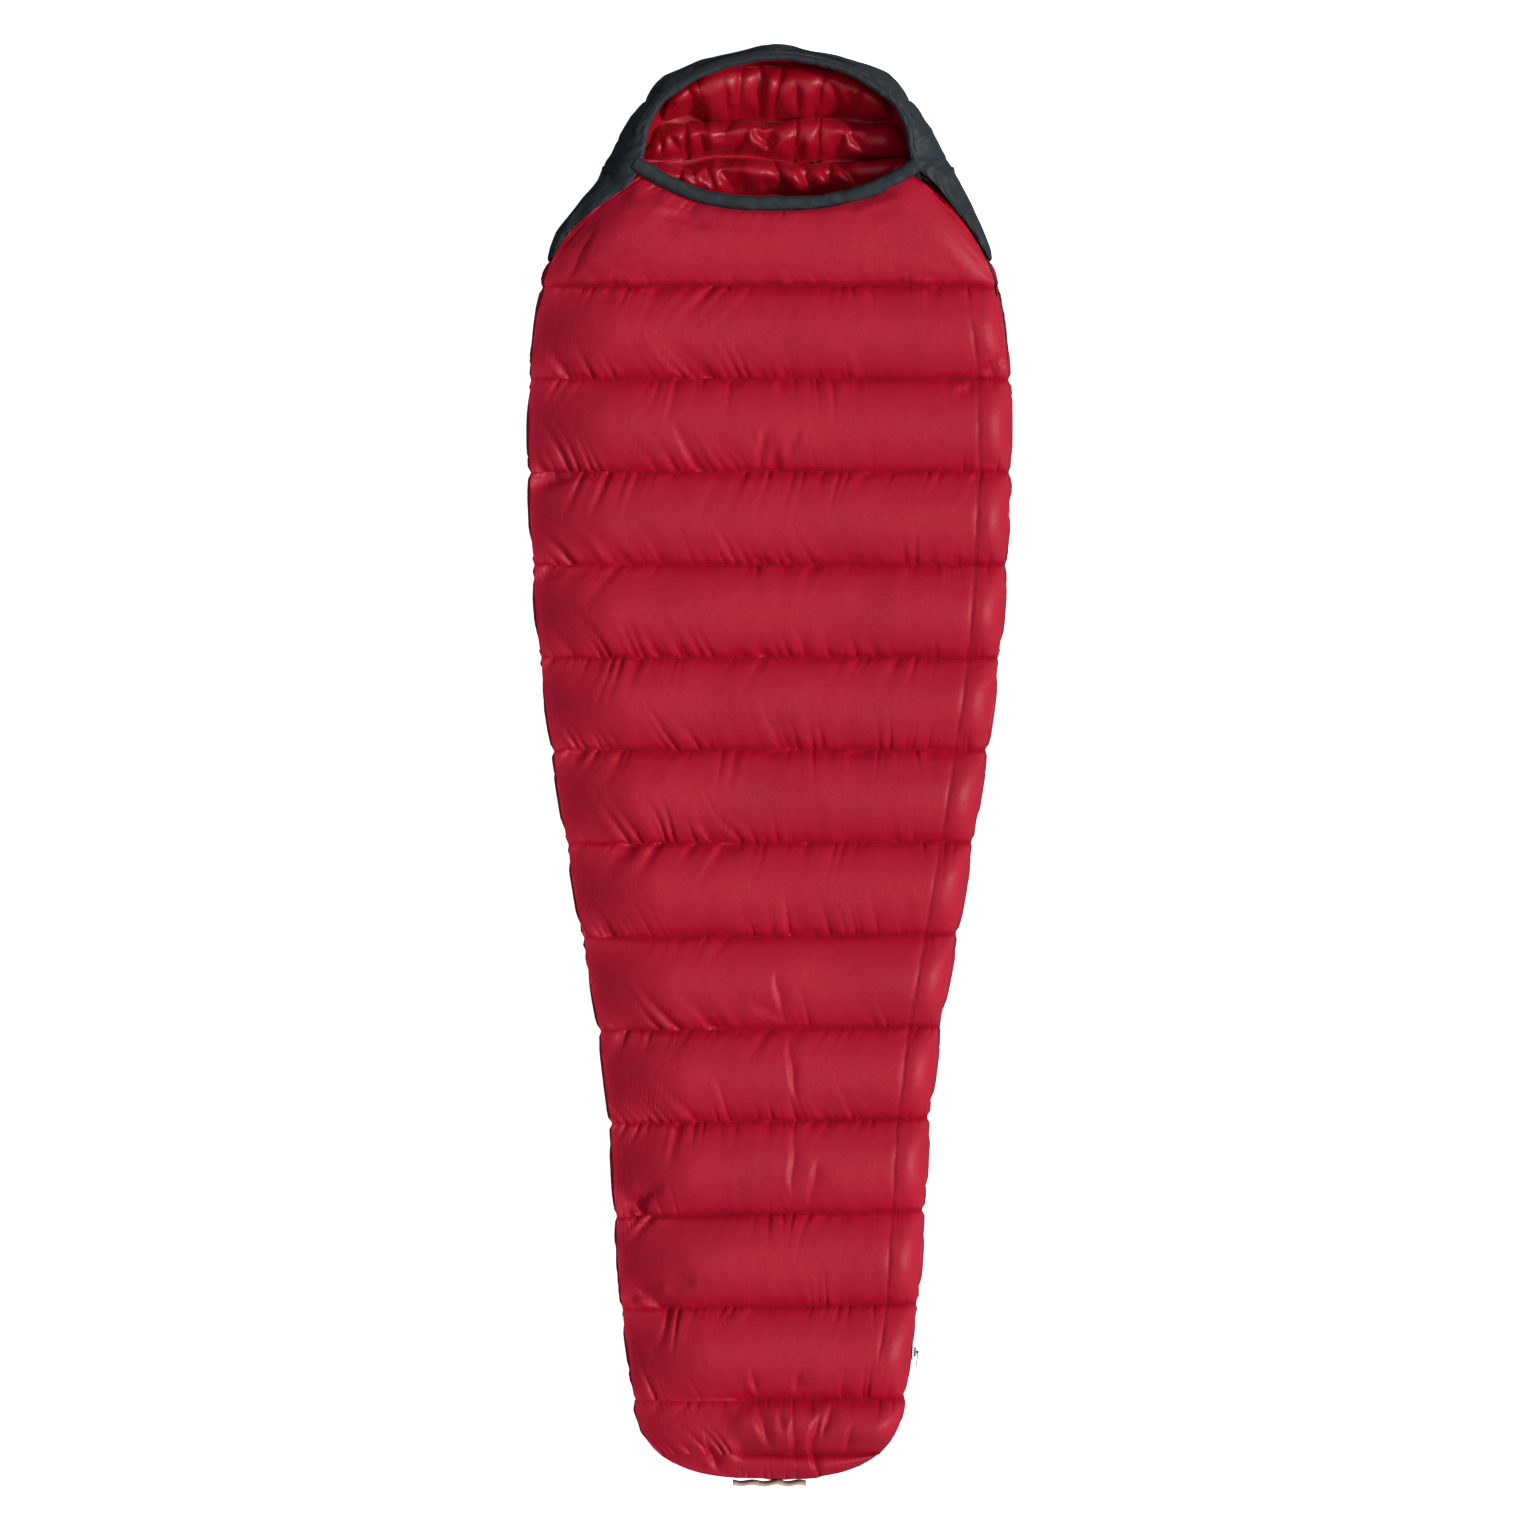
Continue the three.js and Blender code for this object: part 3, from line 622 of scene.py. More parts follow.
def front_outline():
    """The front quilt's edge from the left chin corner round the foot to the right chin corner."""
    shoulder = np.linspace(ARC_TOP_Y, SEAM_Y[0], 20)
    side = np.linspace(SEAM_Y[0], FOOT_Y, 80)
    toes = np.linspace(0, 1, 30)
    foot = np.stack([-FOOT_HALF_WIDTH * (1 - toes**2), foot_y(FOOT_HALF_WIDTH * (1 - toes**2))], 1)
    left = np.concatenate([
        np.stack([-arc_x(shoulder, -ARC_GAP), shoulder], 1),
        np.stack([-(half_width(side) - EDGE_INSET), side], 1),
        foot,
    ])
    return hood_lean(np.concatenate([left, left[::-1] * [-1, 1]]))


def hood_lean(points):
    """Shifts points at the hood end towards the zip side, where the hood sits a little over."""
    x, y = points[..., 0], points[..., 1]
    shift = HOOD_SHIFT * smoothstep((y - HOOD_SHIFT_Y) / 0.10) * (1 - x / HOOD_HALF_WIDTH)
    leant = points.copy()
    leant[..., 0] += np.maximum(shift, 0)
    return leant


def edge_distance(points, outline):
    """The distance on the ground plan from each point to the nearest place of an outline."""
    dense = along(outline, 8 * MM)
    flat = points[..., :2].reshape(-1, 1, 2)
    parts = np.array_split(flat, 20)
    nearest = [np.linalg.norm(part - dense[None], axis=2).min(1) for part in parts]
    return np.concatenate(nearest).reshape(points.shape[:-1])


def front_rows():
    """The ground plan of the front quilt: rows of [x, y], with each row's chamber and share."""
    u = ACROSS
    rows, chambers, shares = [], [], []

    def add(x, y, chamber, share):
        rows.append(np.stack([x, y], 1))
        chambers.append(chamber)
        shares.append(share)

    for v in np.linspace(0, 1, YOKE_ROWS + 1)[:-1]:
        side_y = lerp(ARC_TOP_Y, SEAM_Y[0], v)
        x = u * arc_x(side_y, -ARC_GAP)
        top = chin_y(u * YOKE_HALF_WIDTH) - CHIN_BAND
        add(x, lerp(top, seam_line(0, x), v), 0, v)
    for k in range(1, BAFFLES + 1):
        for v in spread_rows(ROWS)[:-1]:
            level = lerp(SEAM_Y[k - 1], SEAM_Y[k], v)
            pinch = 1 - 0.010 * abs(2 * v - 1) ** 3
            edge = half_width(level) - EDGE_INSET
            if k == 1:
                edge = lerp(arc_x(SEAM_Y[0], -ARC_GAP), edge, smoothstep(v * 3))
            x = u * edge * pinch
            add(x, lerp(seam_line(k - 1, x), seam_line(k, x), v), k, v)
    for v in np.linspace(0, 1, FOOT_ROWS + 1)[:-1]:
        level = lerp(FOOT_Y, CAP_SEAM_Y, v)
        edge = half_width(FOOT_Y) if v == 0 else foot_x(level)
        x = u * (edge - EDGE_INSET)
        add(x, lerp(seam_line(BAFFLES, x), np.full_like(x, CAP_SEAM_Y), v), BAFFLES + 1, v)
    for v in np.linspace(0, 1, CAP_ROWS + 1):
        x = u * CAP_HALF_WIDTH
        end = np.minimum(CAP_SEAM_Y, foot_y(x) + EDGE_INSET)
        add(x, lerp(CAP_SEAM_Y, end, v), BAFFLES + 2, v)
    return np.array(rows), np.array(chambers), np.array(shares)


def cap_seam_depth(x):
    """How much of the short foot seam is sewn: from left of the middle to the right edge."""
    return smoothstep((x - CAP_SEAM_START) / 0.03)


def front_base():
    """The front quilt before the cloth is inflated, with the rows' chambers and pinned points."""
    plan, chambers, shares = front_rows()
    plan = hood_lean(plan)
    points = raised(plan)
    x, y = points[..., 0], points[..., 1]
    v = shares[:, None]
    edge = edge_distance(points, front_outline())
    rightness = smoothstep((x + 0.1) / 0.2)
    band = lerp(LEFT_BAND, RIGHT_BAND, rightness)
    band = lerp(band, SHOULDER_BAND, smoothstep((y - SHOULDER_Y) / 0.1))
    short = 1 - np.clip(edge / band, 0, 1)
    crown = lerp(1 - short**1.7, np.sqrt(1 - short**2), rightness)
    chin = smoothstep(v / 0.3)
    puff = puff_share(v) * PUFF
    seam = np.full_like(x, SEAM_Z)
    yoke = chambers[:, None] == 0
    yoke_puff = PUFF * 0.9 * np.sqrt(np.sin(np.pi * np.clip(v, 0, 1)) + 0.02)
    puff = np.where(yoke, yoke_puff, puff)
    seam = np.where(yoke, lerp(YOKE_Z, SEAM_Z, chin), seam)
    foot = chambers[:, None] == BAFFLES + 1
    cap = chambers[:, None] == BAFFLES + 2
    sewn = cap_seam_depth(x)
    puff = np.where(foot, lerp(np.sin(np.pi * v / 2 + 0.2) * PUFF, puff, sewn), puff)
    puff = np.where(cap, lerp(PUFF * (1 - v), puff * 0.5, sewn), puff)
    width = x[:, -1:] + 1e-9
    dome = DOME * (1 - np.clip(np.abs(x / width), 0, 1) ** 2)
    points[..., 2] = EDGE_Z + crown * (seam - EDGE_Z + puff + dome)

    to_seam, run, nearest = seam_frame(x, chambers, shares)
    reach = 18 * MM * (1 + 0.7 * noise(run / 0.05, nearest * 1.7, 21))
    ripple = noise(run / 0.013, nearest * 2.3, 22) + 0.6 * noise(run / 0.03, nearest * 3.1, 23)
    fade = np.exp(-to_seam / reach)
    points[..., 2] += GATHER_HEIGHT * ripple * fade * (to_seam > 0) * np.clip(crown, 0.2, 1)
    slow = noise(x / 0.09 + 9, y / 0.05, 24)
    points[..., 2] += GATHER_HEIGHT * slow * np.sqrt(puff_share(v)) * crown

    pins = seam_pins(points, shares)
    short_seam = (chambers == BAFFLES + 2) & (shares == 0)
    pins[short_seam] = sewn[short_seam] > 0.5
    pins[-CAP_ROWS - 1:, np.abs(ACROSS) > 0.9] = True
    fullness = np.where(yoke, 0.25, 1.0) * np.exp(-((to_seam / 0.020) ** 2))
    fullness = np.where(cap | foot, 0.9, fullness)
    return points, chambers, shares, pins, fullness


LOWER_SIDE = 40  # added to a seam's number in the lower half of a chamber
LEFT_X = -0.34  # where the gathers lean most, and the width over which that fades
GATHER_SPAN = 0.6


def rightward(x):
    """0 at the left edge, and 1 near the right one, where gathers stand straighter and shorter."""
    return np.clip((x - LEFT_X) / GATHER_SPAN, 0, 1)


def seam_frame(x, chambers, shares):
    """Each point's distance to the nearer seam, the place on it where its gather starts, and the
    seam's number, which is different on its two sides.
    """
    v = shares[:, None]
    upper = v < 0.5
    to_seam = np.minimum(v, 1 - v) * (SEAM_Y[0] - SEAM_Y[1])
    seam = np.where(upper, chambers[:, None] - 1, chambers[:, None])
    lean = np.where(upper, 0.8, 0.9) * lerp(1.0, 0.1, rightward(x))
    lean += 0.45 * noise(x / 0.07, seam * 1.9 + np.where(upper, 0.0, 0.9), 20)
    return to_seam, x + lean * to_seam + 0.37 * seam, seam + np.where(upper, 0, LOWER_SIDE)


def gather_folds(points, chambers, shares):
    """The small sharp folds that a gathered seam throws on both its sides."""
    x = points[..., 0]
    to_seam, run, side = seam_frame(x, chambers, shares)
    upper = side < LOWER_SIDE - 10
    right = rightward(x)
    reach = np.where(upper, lerp(25, 12, right), lerp(30, 13, right)) * MM
    reach *= 1 + 0.9 * noise(run / 0.028, side * 1.9, 33)
    reach *= np.where(chambers[:, None] == 0, 0.5, 1.0)
    fade = np.exp(-((to_seam / reach) ** 1.4)) * (to_seam > 0)
    sharp = (1 - np.abs(noise(run / 0.016, side * 2.9, 34))) ** 6
    fine = (1 - np.abs(noise(run / 0.011, side * 4.3, 35))) ** 3
    some = smoothstep(0.7 + 0.9 * noise(run / 0.06, side * 1.3, 36))
    edge = np.clip((np.abs(points[:, -1:, 0]) - np.abs(x)) / 0.03, 0.25, 1)
    strength = lerp(1.6, 0.9, right)
    points[..., 2] -= (8.5 * sharp + 2.4 * fine - 2.2) * MM * strength * fade * some * edge
    sewn = np.where(chambers[:, None] == BAFFLES + 2, cap_seam_depth(x), 1.0)
    points[..., 2] -= SEAM_GROOVE * sewn * (shares[:, None] == 0)


def refine(grid, times):
    """The grid with more columns, on smooth curves through its own points."""
    columns = grid.shape[1] - 1
    at = np.linspace(0, columns, columns * times + 1)
    return catmull(grid.transpose(1, 0, 2), at).transpose(1, 0, 2)


EASED_SIDE = 2.2  # how many times wider a fold is on the side where it eases out
RIDGE_HEIGHT = 0.12  # of the cloth beside a fold, as a share of its depth
RIDGE_PLACE = 1.9


def crease(points, start, end, width, depth):
    """A sharp fold line pressed into a quilt: steep on one side, easing out on the other."""
    a, b = np.array(start), np.array(end)
    run = b - a
    across = np.array([run[1], -run[0]])
    flat = points[..., :2] - a
    t = np.clip((flat @ run) / (run @ run), 0, 1)
    bow = 0.04 * np.sin(np.pi * t) + 0.02 * np.sin(3 * np.pi * t)
    offset = flat - t[..., None] * run - bow[..., None] * across
    side = np.sign(offset @ across)
    distance = np.linalg.norm(offset, axis=-1)
    fade = np.sin(np.pi * np.clip(t, 0.03, 0.97)) ** 0.7
    width = width * (0.4 + 0.6 * fade)
    dent = np.exp(-np.abs(distance / np.where(side > 0, width, EASED_SIDE * width)) ** 1.3)
    ridge = np.exp(-(((distance - RIDGE_PLACE * width) / width) ** 2)) * (side > 0)
    points[..., 2] += depth * fade * (RIDGE_HEIGHT * ridge - dent)


def press_folds(points, folds):
    for start, end, width, depth in folds:
        crease(points, np.array(start) * MM, np.array(end) * MM, width * MM, depth * MM)


# Folds that lie in the quilt: start, end, width and depth in millimetres.
FOLDS = [
    ((345, 584), (288, 545), 4, 14),
    ((300, 545), (235, 549), 3, 7),
    ((300, 540), (262, 524), 4, 6),
    ((-4, 474), (-16, 416), 4, 6),
    ((12, 446), (-2, 402), 4, 5),
    ((22, 436), (44, 470), 3, 4),
    ((-30, -340), (25, -365), 4, 4),
    ((8, -300), (24, -370), 4, 4),
    ((28, -392), (40, -480), 4, 5),
    ((40, -520), (32, -610), 4, 4),
    ((72, -565), (56, -630), 4, 4),
    ((-90, -966), (-72, -1008), 5, 9),
    ((-18, -914), (0, -970), 6, 9),
    ((34, -935), (37, -996), 4, 6),
    ((74, -930), (58, -975), 5, 9),
    ((58, -965), (68, -1010), 4, 8),
    ((90, -914), (76, -958), 4, 6),
    ((116, -948), (108, -985), 4, 6),
    ((42, -872), (36, -894), 4, 6),
    ((-26, -870), (-18, -894), 4, 6),
    ((12, -925), (20, -950), 4, 5),
    ((-342, 392), (-275, 414), 6, 12),
    ((-338, 404), (-290, 402), 4, 7),
    ((-335, 262), (-290, 277), 5, 6),
    ((-228, -646), (-170, -618), 6, 12),
    ((-218, -632), (-180, -654), 5, 8),
    ((-200, -628), (-150, -600), 5, 7),
    ((-215, -765), (-150, -745), 5, 8),
    ((-186, -752), (-128, -790), 5, 7),
    ((-150, -748), (-100, -735), 5, 6),
    ((-185, 832), (-75, 796), 5, 11),
    ((-195, 818), (-95, 786), 5, 11),
    ((-165, 790), (-80, 764), 5, 8),
    ((-178, 772), (-128, 752), 4, 3),
    ((100, 790), (200, 826), 5, 10),
    ((130, 780), (190, 792), 4, 3),
    ((-215, 700), (-120, 682), 6, 3),
    ((-290, 690), (-250, 770), 6, 4),
]
STITCH_INSET = 47 * MM  # of the draft tube's seam from the right edge
STITCH_TOP_Y = 631 * MM
STITCH_END_Y = -851 * MM


def stitch_line_dent(points):
    """The long seam beside the zip draws the quilt in along a line."""
    x, y = points[..., 0], points[..., 1]
    offset = x - (half_width(y) - STITCH_INSET)
    inside = smoothstep((STITCH_TOP_Y - y) / 0.01) * smoothstep((y - STITCH_END_Y) / 0.01)
    gather = 1 + 0.5 * noise(y / 0.011, 3.0, 31)
    dent = 2.4 * MM * np.exp(-np.abs(offset) / (3 * MM)) * gather
    ripple = 0.8 * MM * noise(y / 0.013, np.sign(offset) * 4 + 9, 32)
    ripple *= np.exp(-np.abs(offset) / (14 * MM))
    points[..., 2] -= inside * (dent - ripple)


def soft_limit(z, limit, knee=8 * MM):
    """z, bent smoothly so that it never passes the limit."""
    over = np.maximum(0, z - (limit - knee))
    return np.minimum(z, limit - knee) + knee * np.tanh(over / knee)


def build_front_surface():
    """The front quilt's outside, inflated, gathered and creased."""
    base, chambers, shares, pins, fullness = front_base()
    surface = settle(base, pins, 3, (-0.002, 0.06), frames=16, cap=12 * MM, fullness=fullness)
    surface = refine(surface, REFINE)
    gather_folds(surface, chambers, shares)
    stitch_line_dent(surface)
    press_folds(surface, FOLDS)
    surface[..., 2] = np.maximum(soft_limit(surface[..., 2], TOP_Z), LOWEST_TOP_Z)
    return surface, chambers


FRONT_HEM_Z = 97 * MM


def front_lining(outer, count):
    """The lining side of a front chamber: shallow, with its hem inside of the outer edge."""
    inner = outer[few_rows(outer, count)].copy()
    edge = np.abs(inner[:, -1:, 0])
    inner[..., 0] *= 1 - (HEM_INSET - EDGE_INSET) / edge
    share = puff_share(np.linspace(0, 1, count))[:, None]
    middle = np.clip(4 * (1 - np.abs(inner[..., 0]) / edge), 0, 1)
    ripple = 1 + 0.3 * noise(inner[..., 0] / 0.03, inner[..., 1] / 0.04, 41)
    inner[..., 2] = FRONT_HEM_Z - 5 * MM * share * middle * ripple
    return inner


def build_front_quilt():
    surface, chambers = build_front_surface()
    names = ["chest_yoke"] + [f"front_baffle_{k:02d}" for k in range(1, BAFFLES + 1)]
    names += ["foot_box_front", "foot_end_cap"]
    starts = chamber_starts_of(chambers, len(names))
    lining = lambda node, outer: front_lining(outer, 4 if node.startswith("foot") else 6)
    for node, piece in cut_chambers(surface, starts, names, "_quilt", lining):
        fold = node in names[:2]
        nodes = [node, node + "_flap"] if fold else [node]
        finish_piece(piece, "shell_nylon", nodes, fold=fold)
    return surface, starts


front_surface, chamber_starts = build_front_quilt()

# ---- Back quilt ----

BACK_COLUMNS = 65  # from the hem to the centre line
BACK_ROWS = 14
NECK_ROWS = 6
BACK_PITCH = 130 * MM
TAPE_BOTTOM_Z = 84 * MM
BACK_TOP_Z = 96 * MM
# The section from the hem to the floor: inset from the widest line, and height.
BACK_SECTION = MM * np.array([
    (6.5, 95.5), (5.4, 90), (4.8, 84), (1.6, 76), (0, 65), (0, 50), (3, 32), (12, 14), (28, 3),
    (52, 0),
])
# The same for the lining side, which lies inside of the walls and over the floor.
TRAY_SECTION = MM * np.array([
    (40, 94), (42, 84), (44, 66), (50, 50), (62, 37), (84, 30), (110, 27),
])


def section_points(section, half, count):
    """A half section from the side to the centre line, as [x, z] from the right side's top."""
    side = catmull(section, np.linspace(0, len(section) - 1, count - count // 3))
    floor_x = np.linspace(half - side[-1, 0], 0, count // 3 + 1)[1:]
    right = np.concatenate([
        np.stack([half - side[:, 0], side[:, 1]], 1),
        np.stack([floor_x, np.full(len(floor_x), side[-1, 1])], 1),
    ])
    left = right[:-1] * [-1, 1]
    return np.concatenate([left, right[::-1]])


def back_rows():
    """The level and share of each row of the back quilt, with its chamber."""
    rows, chambers, shares = [], [], []
    levels = [(0, NECK_Y, SEAM_Y[0], NECK_ROWS)]
    levels += [(k, SEAM_Y[k - 1], SEAM_Y[k], BACK_ROWS) for k in range(1, BAFFLES + 1)]
    for k, high, low, count in levels:
        for v in np.linspace(0, 1, count + 1)[:-1]:
            rows.append((lerp(high, low, v), v))
            chambers.append(k)
            shares.append(v)
    rows.append((FOOT_Y, 1.0))
    chambers.append(BAFFLES)
    shares.append(1.0)
    return rows, np.array(chambers), np.array(shares)


def back_surface():
    """The back quilt's outside, from hem to hem, as inflated cloth."""
    rows, chambers, shares = back_rows()
    grid = []
    for (y, v), k in zip(rows, chambers):
        section = section_points(BACK_SECTION, half_width(y), BACK_COLUMNS)
        drawn = 1 - float(puff_share(np.array(v)))
        depth = (drawn * 3 + (1.5 if v == 0 else 0)) * MM
        wall = smoothstep((section[:, 1] - 2 * MM) / 0.03)
        wall *= smoothstep((88 * MM - section[:, 1]) / 0.02)
        x = section[:, 0] - np.sign(section[:, 0]) * depth * wall
        z = section[:, 1] + depth * (1 - smoothstep(section[:, 1] / 0.02))
        tilt = seam_tilt(k) * x / TILT_SPAN
        grid.append(np.stack([x, y + tilt, z], 1))
    grid = np.array(grid)
    v = shares[:, None]
    to_seam = np.minimum(v, 1 - v) * BACK_PITCH
    run = np.cumsum(np.linalg.norm(np.diff(grid, axis=1, prepend=grid[:, :1]), axis=2), axis=1)
    side = np.where(v < 0.5, chambers[:, None] - 1, chambers[:, None])
    ripple = noise(run / 0.014 + 0.5 * to_seam / 0.014, side * 2.7, 51)
    ripple += 0.6 * noise(run / 0.035, side * 3.3, 52)
    below_zip = smoothstep((TAPE_BOTTOM_Z - grid[..., 2]) / 0.02)
    bump = GATHER_HEIGHT * ripple * np.exp(-to_seam / 0.02) * (to_seam > 0) * below_zip
    wall = smoothstep((grid[..., 2] - 4 * MM) / 0.03)
    grid[..., 0] += np.sign(grid[..., 0]) * bump * wall
    grid[..., 2] += bump * (1 - wall)
    pins = seam_pins(grid, shares)
    surface = settle(grid, pins, 2, (0.03, 0.03), frames=14, cap=5 * MM, facing=-1)
    under_tape = smoothstep((surface[..., 2] - 70 * MM) / 0.013)
    limit = half_width(surface[..., 1]) + MM * lerp(2.5, -4.7, under_tape)
    surface[..., 0] = np.clip(surface[..., 0], -limit, limit)
    high = np.abs(surface[..., 0]) > half_width(surface[..., 1]) - 12 * MM
    surface[..., 2] = np.where(high, np.minimum(surface[..., 2], BACK_TOP_Z), surface[..., 2])
    surface[..., 2] = np.maximum(surface[..., 2], 0)
    return surface, chambers


def tray_rows(outer, count=5):
    """The lining side of a back chamber, on the same columns as its outer side."""
    inner = []
    for row, v in zip(few_rows(outer, count), np.linspace(0, 1, count)):
        y = outer[row, :, 1]
        section = section_points(TRAY_SECTION, float(half_width(y.mean())), BACK_COLUMNS)
        sunk = (1 - float(puff_share(np.array(v)))) * 5 * MM
        z = section[:, 1] - sunk * smoothstep((85 * MM - section[:, 1]) / 0.03)
        inner.append(np.stack([section[:, 0], y, z], 1))
    return np.array(inner)


def build_back_quilt():
    surface, chambers = back_surface()
    starts = chamber_starts_of(chambers, BAFFLES + 1)
    names = ["neck_baffle_back"] + [f"back_baffle_{k:02d}" for k in range(1, BAFFLES + 1)]
    lining = lambda node, outer: tray_rows(outer)
    for node, piece in cut_chambers(surface, starts, names, "_quilt", lining):
        finish_piece(piece, "shell_nylon", [node])


def build_foot_bowl():
    """The back half of the foot box: a quarter bowl from its hem down to the last seam."""
    angles = np.linspace(-math.pi / 2, math.pi / 2, 2 * BACK_COLUMNS - 1)
    hem_x = FOOT_HALF_WIDTH * np.sign(np.sin(angles)) * np.abs(np.sin(angles)) ** (2 / 3)
    hem_y = FOOT_Y - (FOOT_Y - FOOT_END_Y) * np.abs(np.cos(angles))
    rim = np.stack([hem_x, hem_y], 1)
    pole = np.array([0, FOOT_Y])

    def rows(section, count, reach):
        side = catmull(section, np.linspace(0, len(section) - 1, count))
        length = np.linalg.norm(rim - pole, axis=1)
        grid = []
        for inset, z in side:
            share = np.clip(1 - inset / length, 0, 1)[:, None]
            grid.append(raised(pole + (rim - pole) * share, z))
        final = grid[-1]
        for t in np.linspace(0, reach, 7)[1:]:
            row = final.copy()
            row[:, :2] = lerp(final[:, :2], pole, t)
            grid.append(row)
        return np.array(grid)

    outer = rows(BACK_SECTION, 16, 0.97)
    around = np.cumsum(np.linalg.norm(np.diff(rim, axis=0, prepend=rim[:1]), axis=1))[None]
    height = outer[..., 2]
    wall = smoothstep((height - 4 * MM) / 0.03) * smoothstep((95 * MM - height) / 0.02)
    gathers = noise(around / 0.016 + 3, height / 0.05, 61)
    gathers += 0.6 * noise(around / 0.04, height / 0.05, 62)
    out = rim - pole
    out = out / np.linalg.norm(out, axis=1)[:, None]
    outer[..., :2] += out[None] * (2.4 * MM * gathers * wall)[..., None]
    inner = rows(TRAY_SECTION, 7, 0.9)
    for skin in (outer, inner):  # its open side follows the tilted last seam
        near = (skin[..., 1] - FOOT_END_Y) / (FOOT_Y - FOOT_END_Y)
        skin[..., 1] += SEAM_TILT * skin[..., 0] / TILT_SPAN * near
    piece = pad("foot_box_back_quilt", outer, inner, SHELL, LINING)
    finish_piece(piece, "shell_nylon", ["foot_box_back"])


build_back_quilt()
build_foot_bowl()

# ---- Hood ----

HOOD_COLUMNS = 192
HOOD_ROWS = 30
HOOD_LINING_ROWS = 14
HOOD_CENTRE = np.array([0, 800 * MM])
HOOD_WALL = 28 * MM
# The outer skin from the ground to the inner edge: inset, share of the roof, height (mm).
HOOD_SECTION = np.array([
    (11, 0, 0), (5, 0, 14), (3, 0, 32), (3, 0, 56), (5, 0.01, 78), (8, 0.06, 95), (8, 0.2, 107),
    (5, 0.42, 115), (2, 0.7, 119), (0, 0.9, 119), (0, 1, 117),
])
# The lining skin, the same, but with its inset as a share of the wall, and its flare (mm).
HOOD_LINING = [
    (1, 0, 1, 55), (1, 0, 8, 40), (1, 0, 18, 18), (1, 0, 36, 4), (1, 0, 58, 0), (1, 0.04, 77, 0),
    (0.8, 0.2, 92, 0), (0.4, 0.55, 99, 0), (0, 1, 101, 0),
]


def hood_edges():
    """The hood's outline and its inner edge, from the right shoulder to the left one."""
    outline = np.array(HOOD_OUTLINE, float) * MM
    heights = np.array(SHOULDER_SEAM_Y) * MM
    face = np.array(FACE_EDGE) * MM
    lip = np.array([3, 3, 3, 10]) * MM
    right = np.concatenate([np.stack([arc_x(heights, lip), heights], 1), face])
    left = np.concatenate([np.stack([arc_x(heights, 0.5 * MM), heights], 1), face])
    mirror = lambda points: points[:-1][::-1] * [-1, 1]
    outline = np.concatenate([outline, mirror(outline)])
    return hood_lean(outline), hood_lean(np.concatenate([right, mirror(left)]))


def hood_surface():
    """The hood's outer skin and lining skin, and the columns of its two seams."""
    outline, inner_edge = hood_edges()
    stations = np.linspace(0, len(outline) - 1, HOOD_COLUMNS + 1)
    out, edge = catmull(outline, stations), catmull(inner_edge, stations)
    inward = HOOD_CENTRE - out
    inward /= np.linalg.norm(inward, axis=1)[:, None]
    reach = edge - out
    width = np.linalg.norm(reach, axis=1)
    narrow = np.clip(width / (60 * MM), 0.15, 1)
    wall = np.minimum(HOOD_WALL, 0.85 * width)

    def skin(section, count, step):
        rows = catmull(section, np.linspace(0, len(section) - 1, count))
        units = [1, 1, MM] + [MM] * (rows.shape[1] - 3)
        return np.array([
            raised(out + inward * step(*row)[:, None] + reach * row[1], row[2])
            for row in rows * units
        ])

    outer = skin(HOOD_SECTION, HOOD_ROWS, lambda inset, share, z: inset * MM * narrow)
    lining_step = lambda inset, share, z, flare: inset * wall + flare
    inner = skin(HOOD_LINING, HOOD_LINING_ROWS, lining_step)
    ends = smoothstep(np.minimum(stations, len(outline) - 1 - stations) / 1.2)
    rise = smoothstep((outer[..., 2] - 80 * MM) / 0.03)
    outer[..., 2] -= rise * (1 - ends) * 8 * MM

    run = stations * 0.045
    v = np.linspace(0, 1, HOOD_ROWS)[:, None]
    folds = 2.1 * MM * (noise(run / 0.016 + 4 * v, v * 2, 71) + noise(run / 0.04, v * 3 + 7, 72))
    folds += 3.0 * MM * noise(run / 0.09, v * 2.2, 73) * np.sin(np.pi * v)
    gather = 1.8 * MM * noise(run / 0.010, v * 1.5, 74) * np.exp(-(1 - v) / 0.12)
    bump = (folds + gather) * np.sin(np.pi * v) ** 0.5 * np.clip(narrow * 1.3, 0.35, 1)
    roof = rise[..., None] * np.array([0, 0, 1.0])
    side = (1 - rise)[..., None] * raised(-inward)[None]
    outer += bump[..., None] * (roof + side)
    pins = np.zeros(outer.shape[:2], bool)
    pins[[0, -1]] = True
    last = len(outline) - 1
    seams = [round(s / last * HOOD_COLUMNS) for s in (PANEL_SEAM, last - PANEL_SEAM)]
    pins[:, [0, -1] + seams] = True
    facing = hood_facing(outer)
    outer = settle(outer, pins, 1.5, (0.03, 0.03), frames=18, cap=5 * MM, facing=facing)
    outer[..., 2] = np.maximum(outer[..., 2], 0)
    depth = np.linspace(0, 1, HOOD_LINING_ROWS)[:, None]
    creases = 4 * MM * noise(run / 0.022, depth * 2.5, 75) * np.sin(np.pi * depth)
    inner += creases[..., None] * raised(inward)[None]
    return outer, inner, seams


def hood_facing(grid):
    """1 when the grid's own faces look away from the hood's middle, and -1 when they look in."""
    a, b, c = grid[8, 100], grid[9, 100], grid[8, 101]
    normal = np.cross(b - a, c - a)
    away = a[:2] - HOOD_CENTRE
    return 1 if normal[:2] @ away > 0 else -1


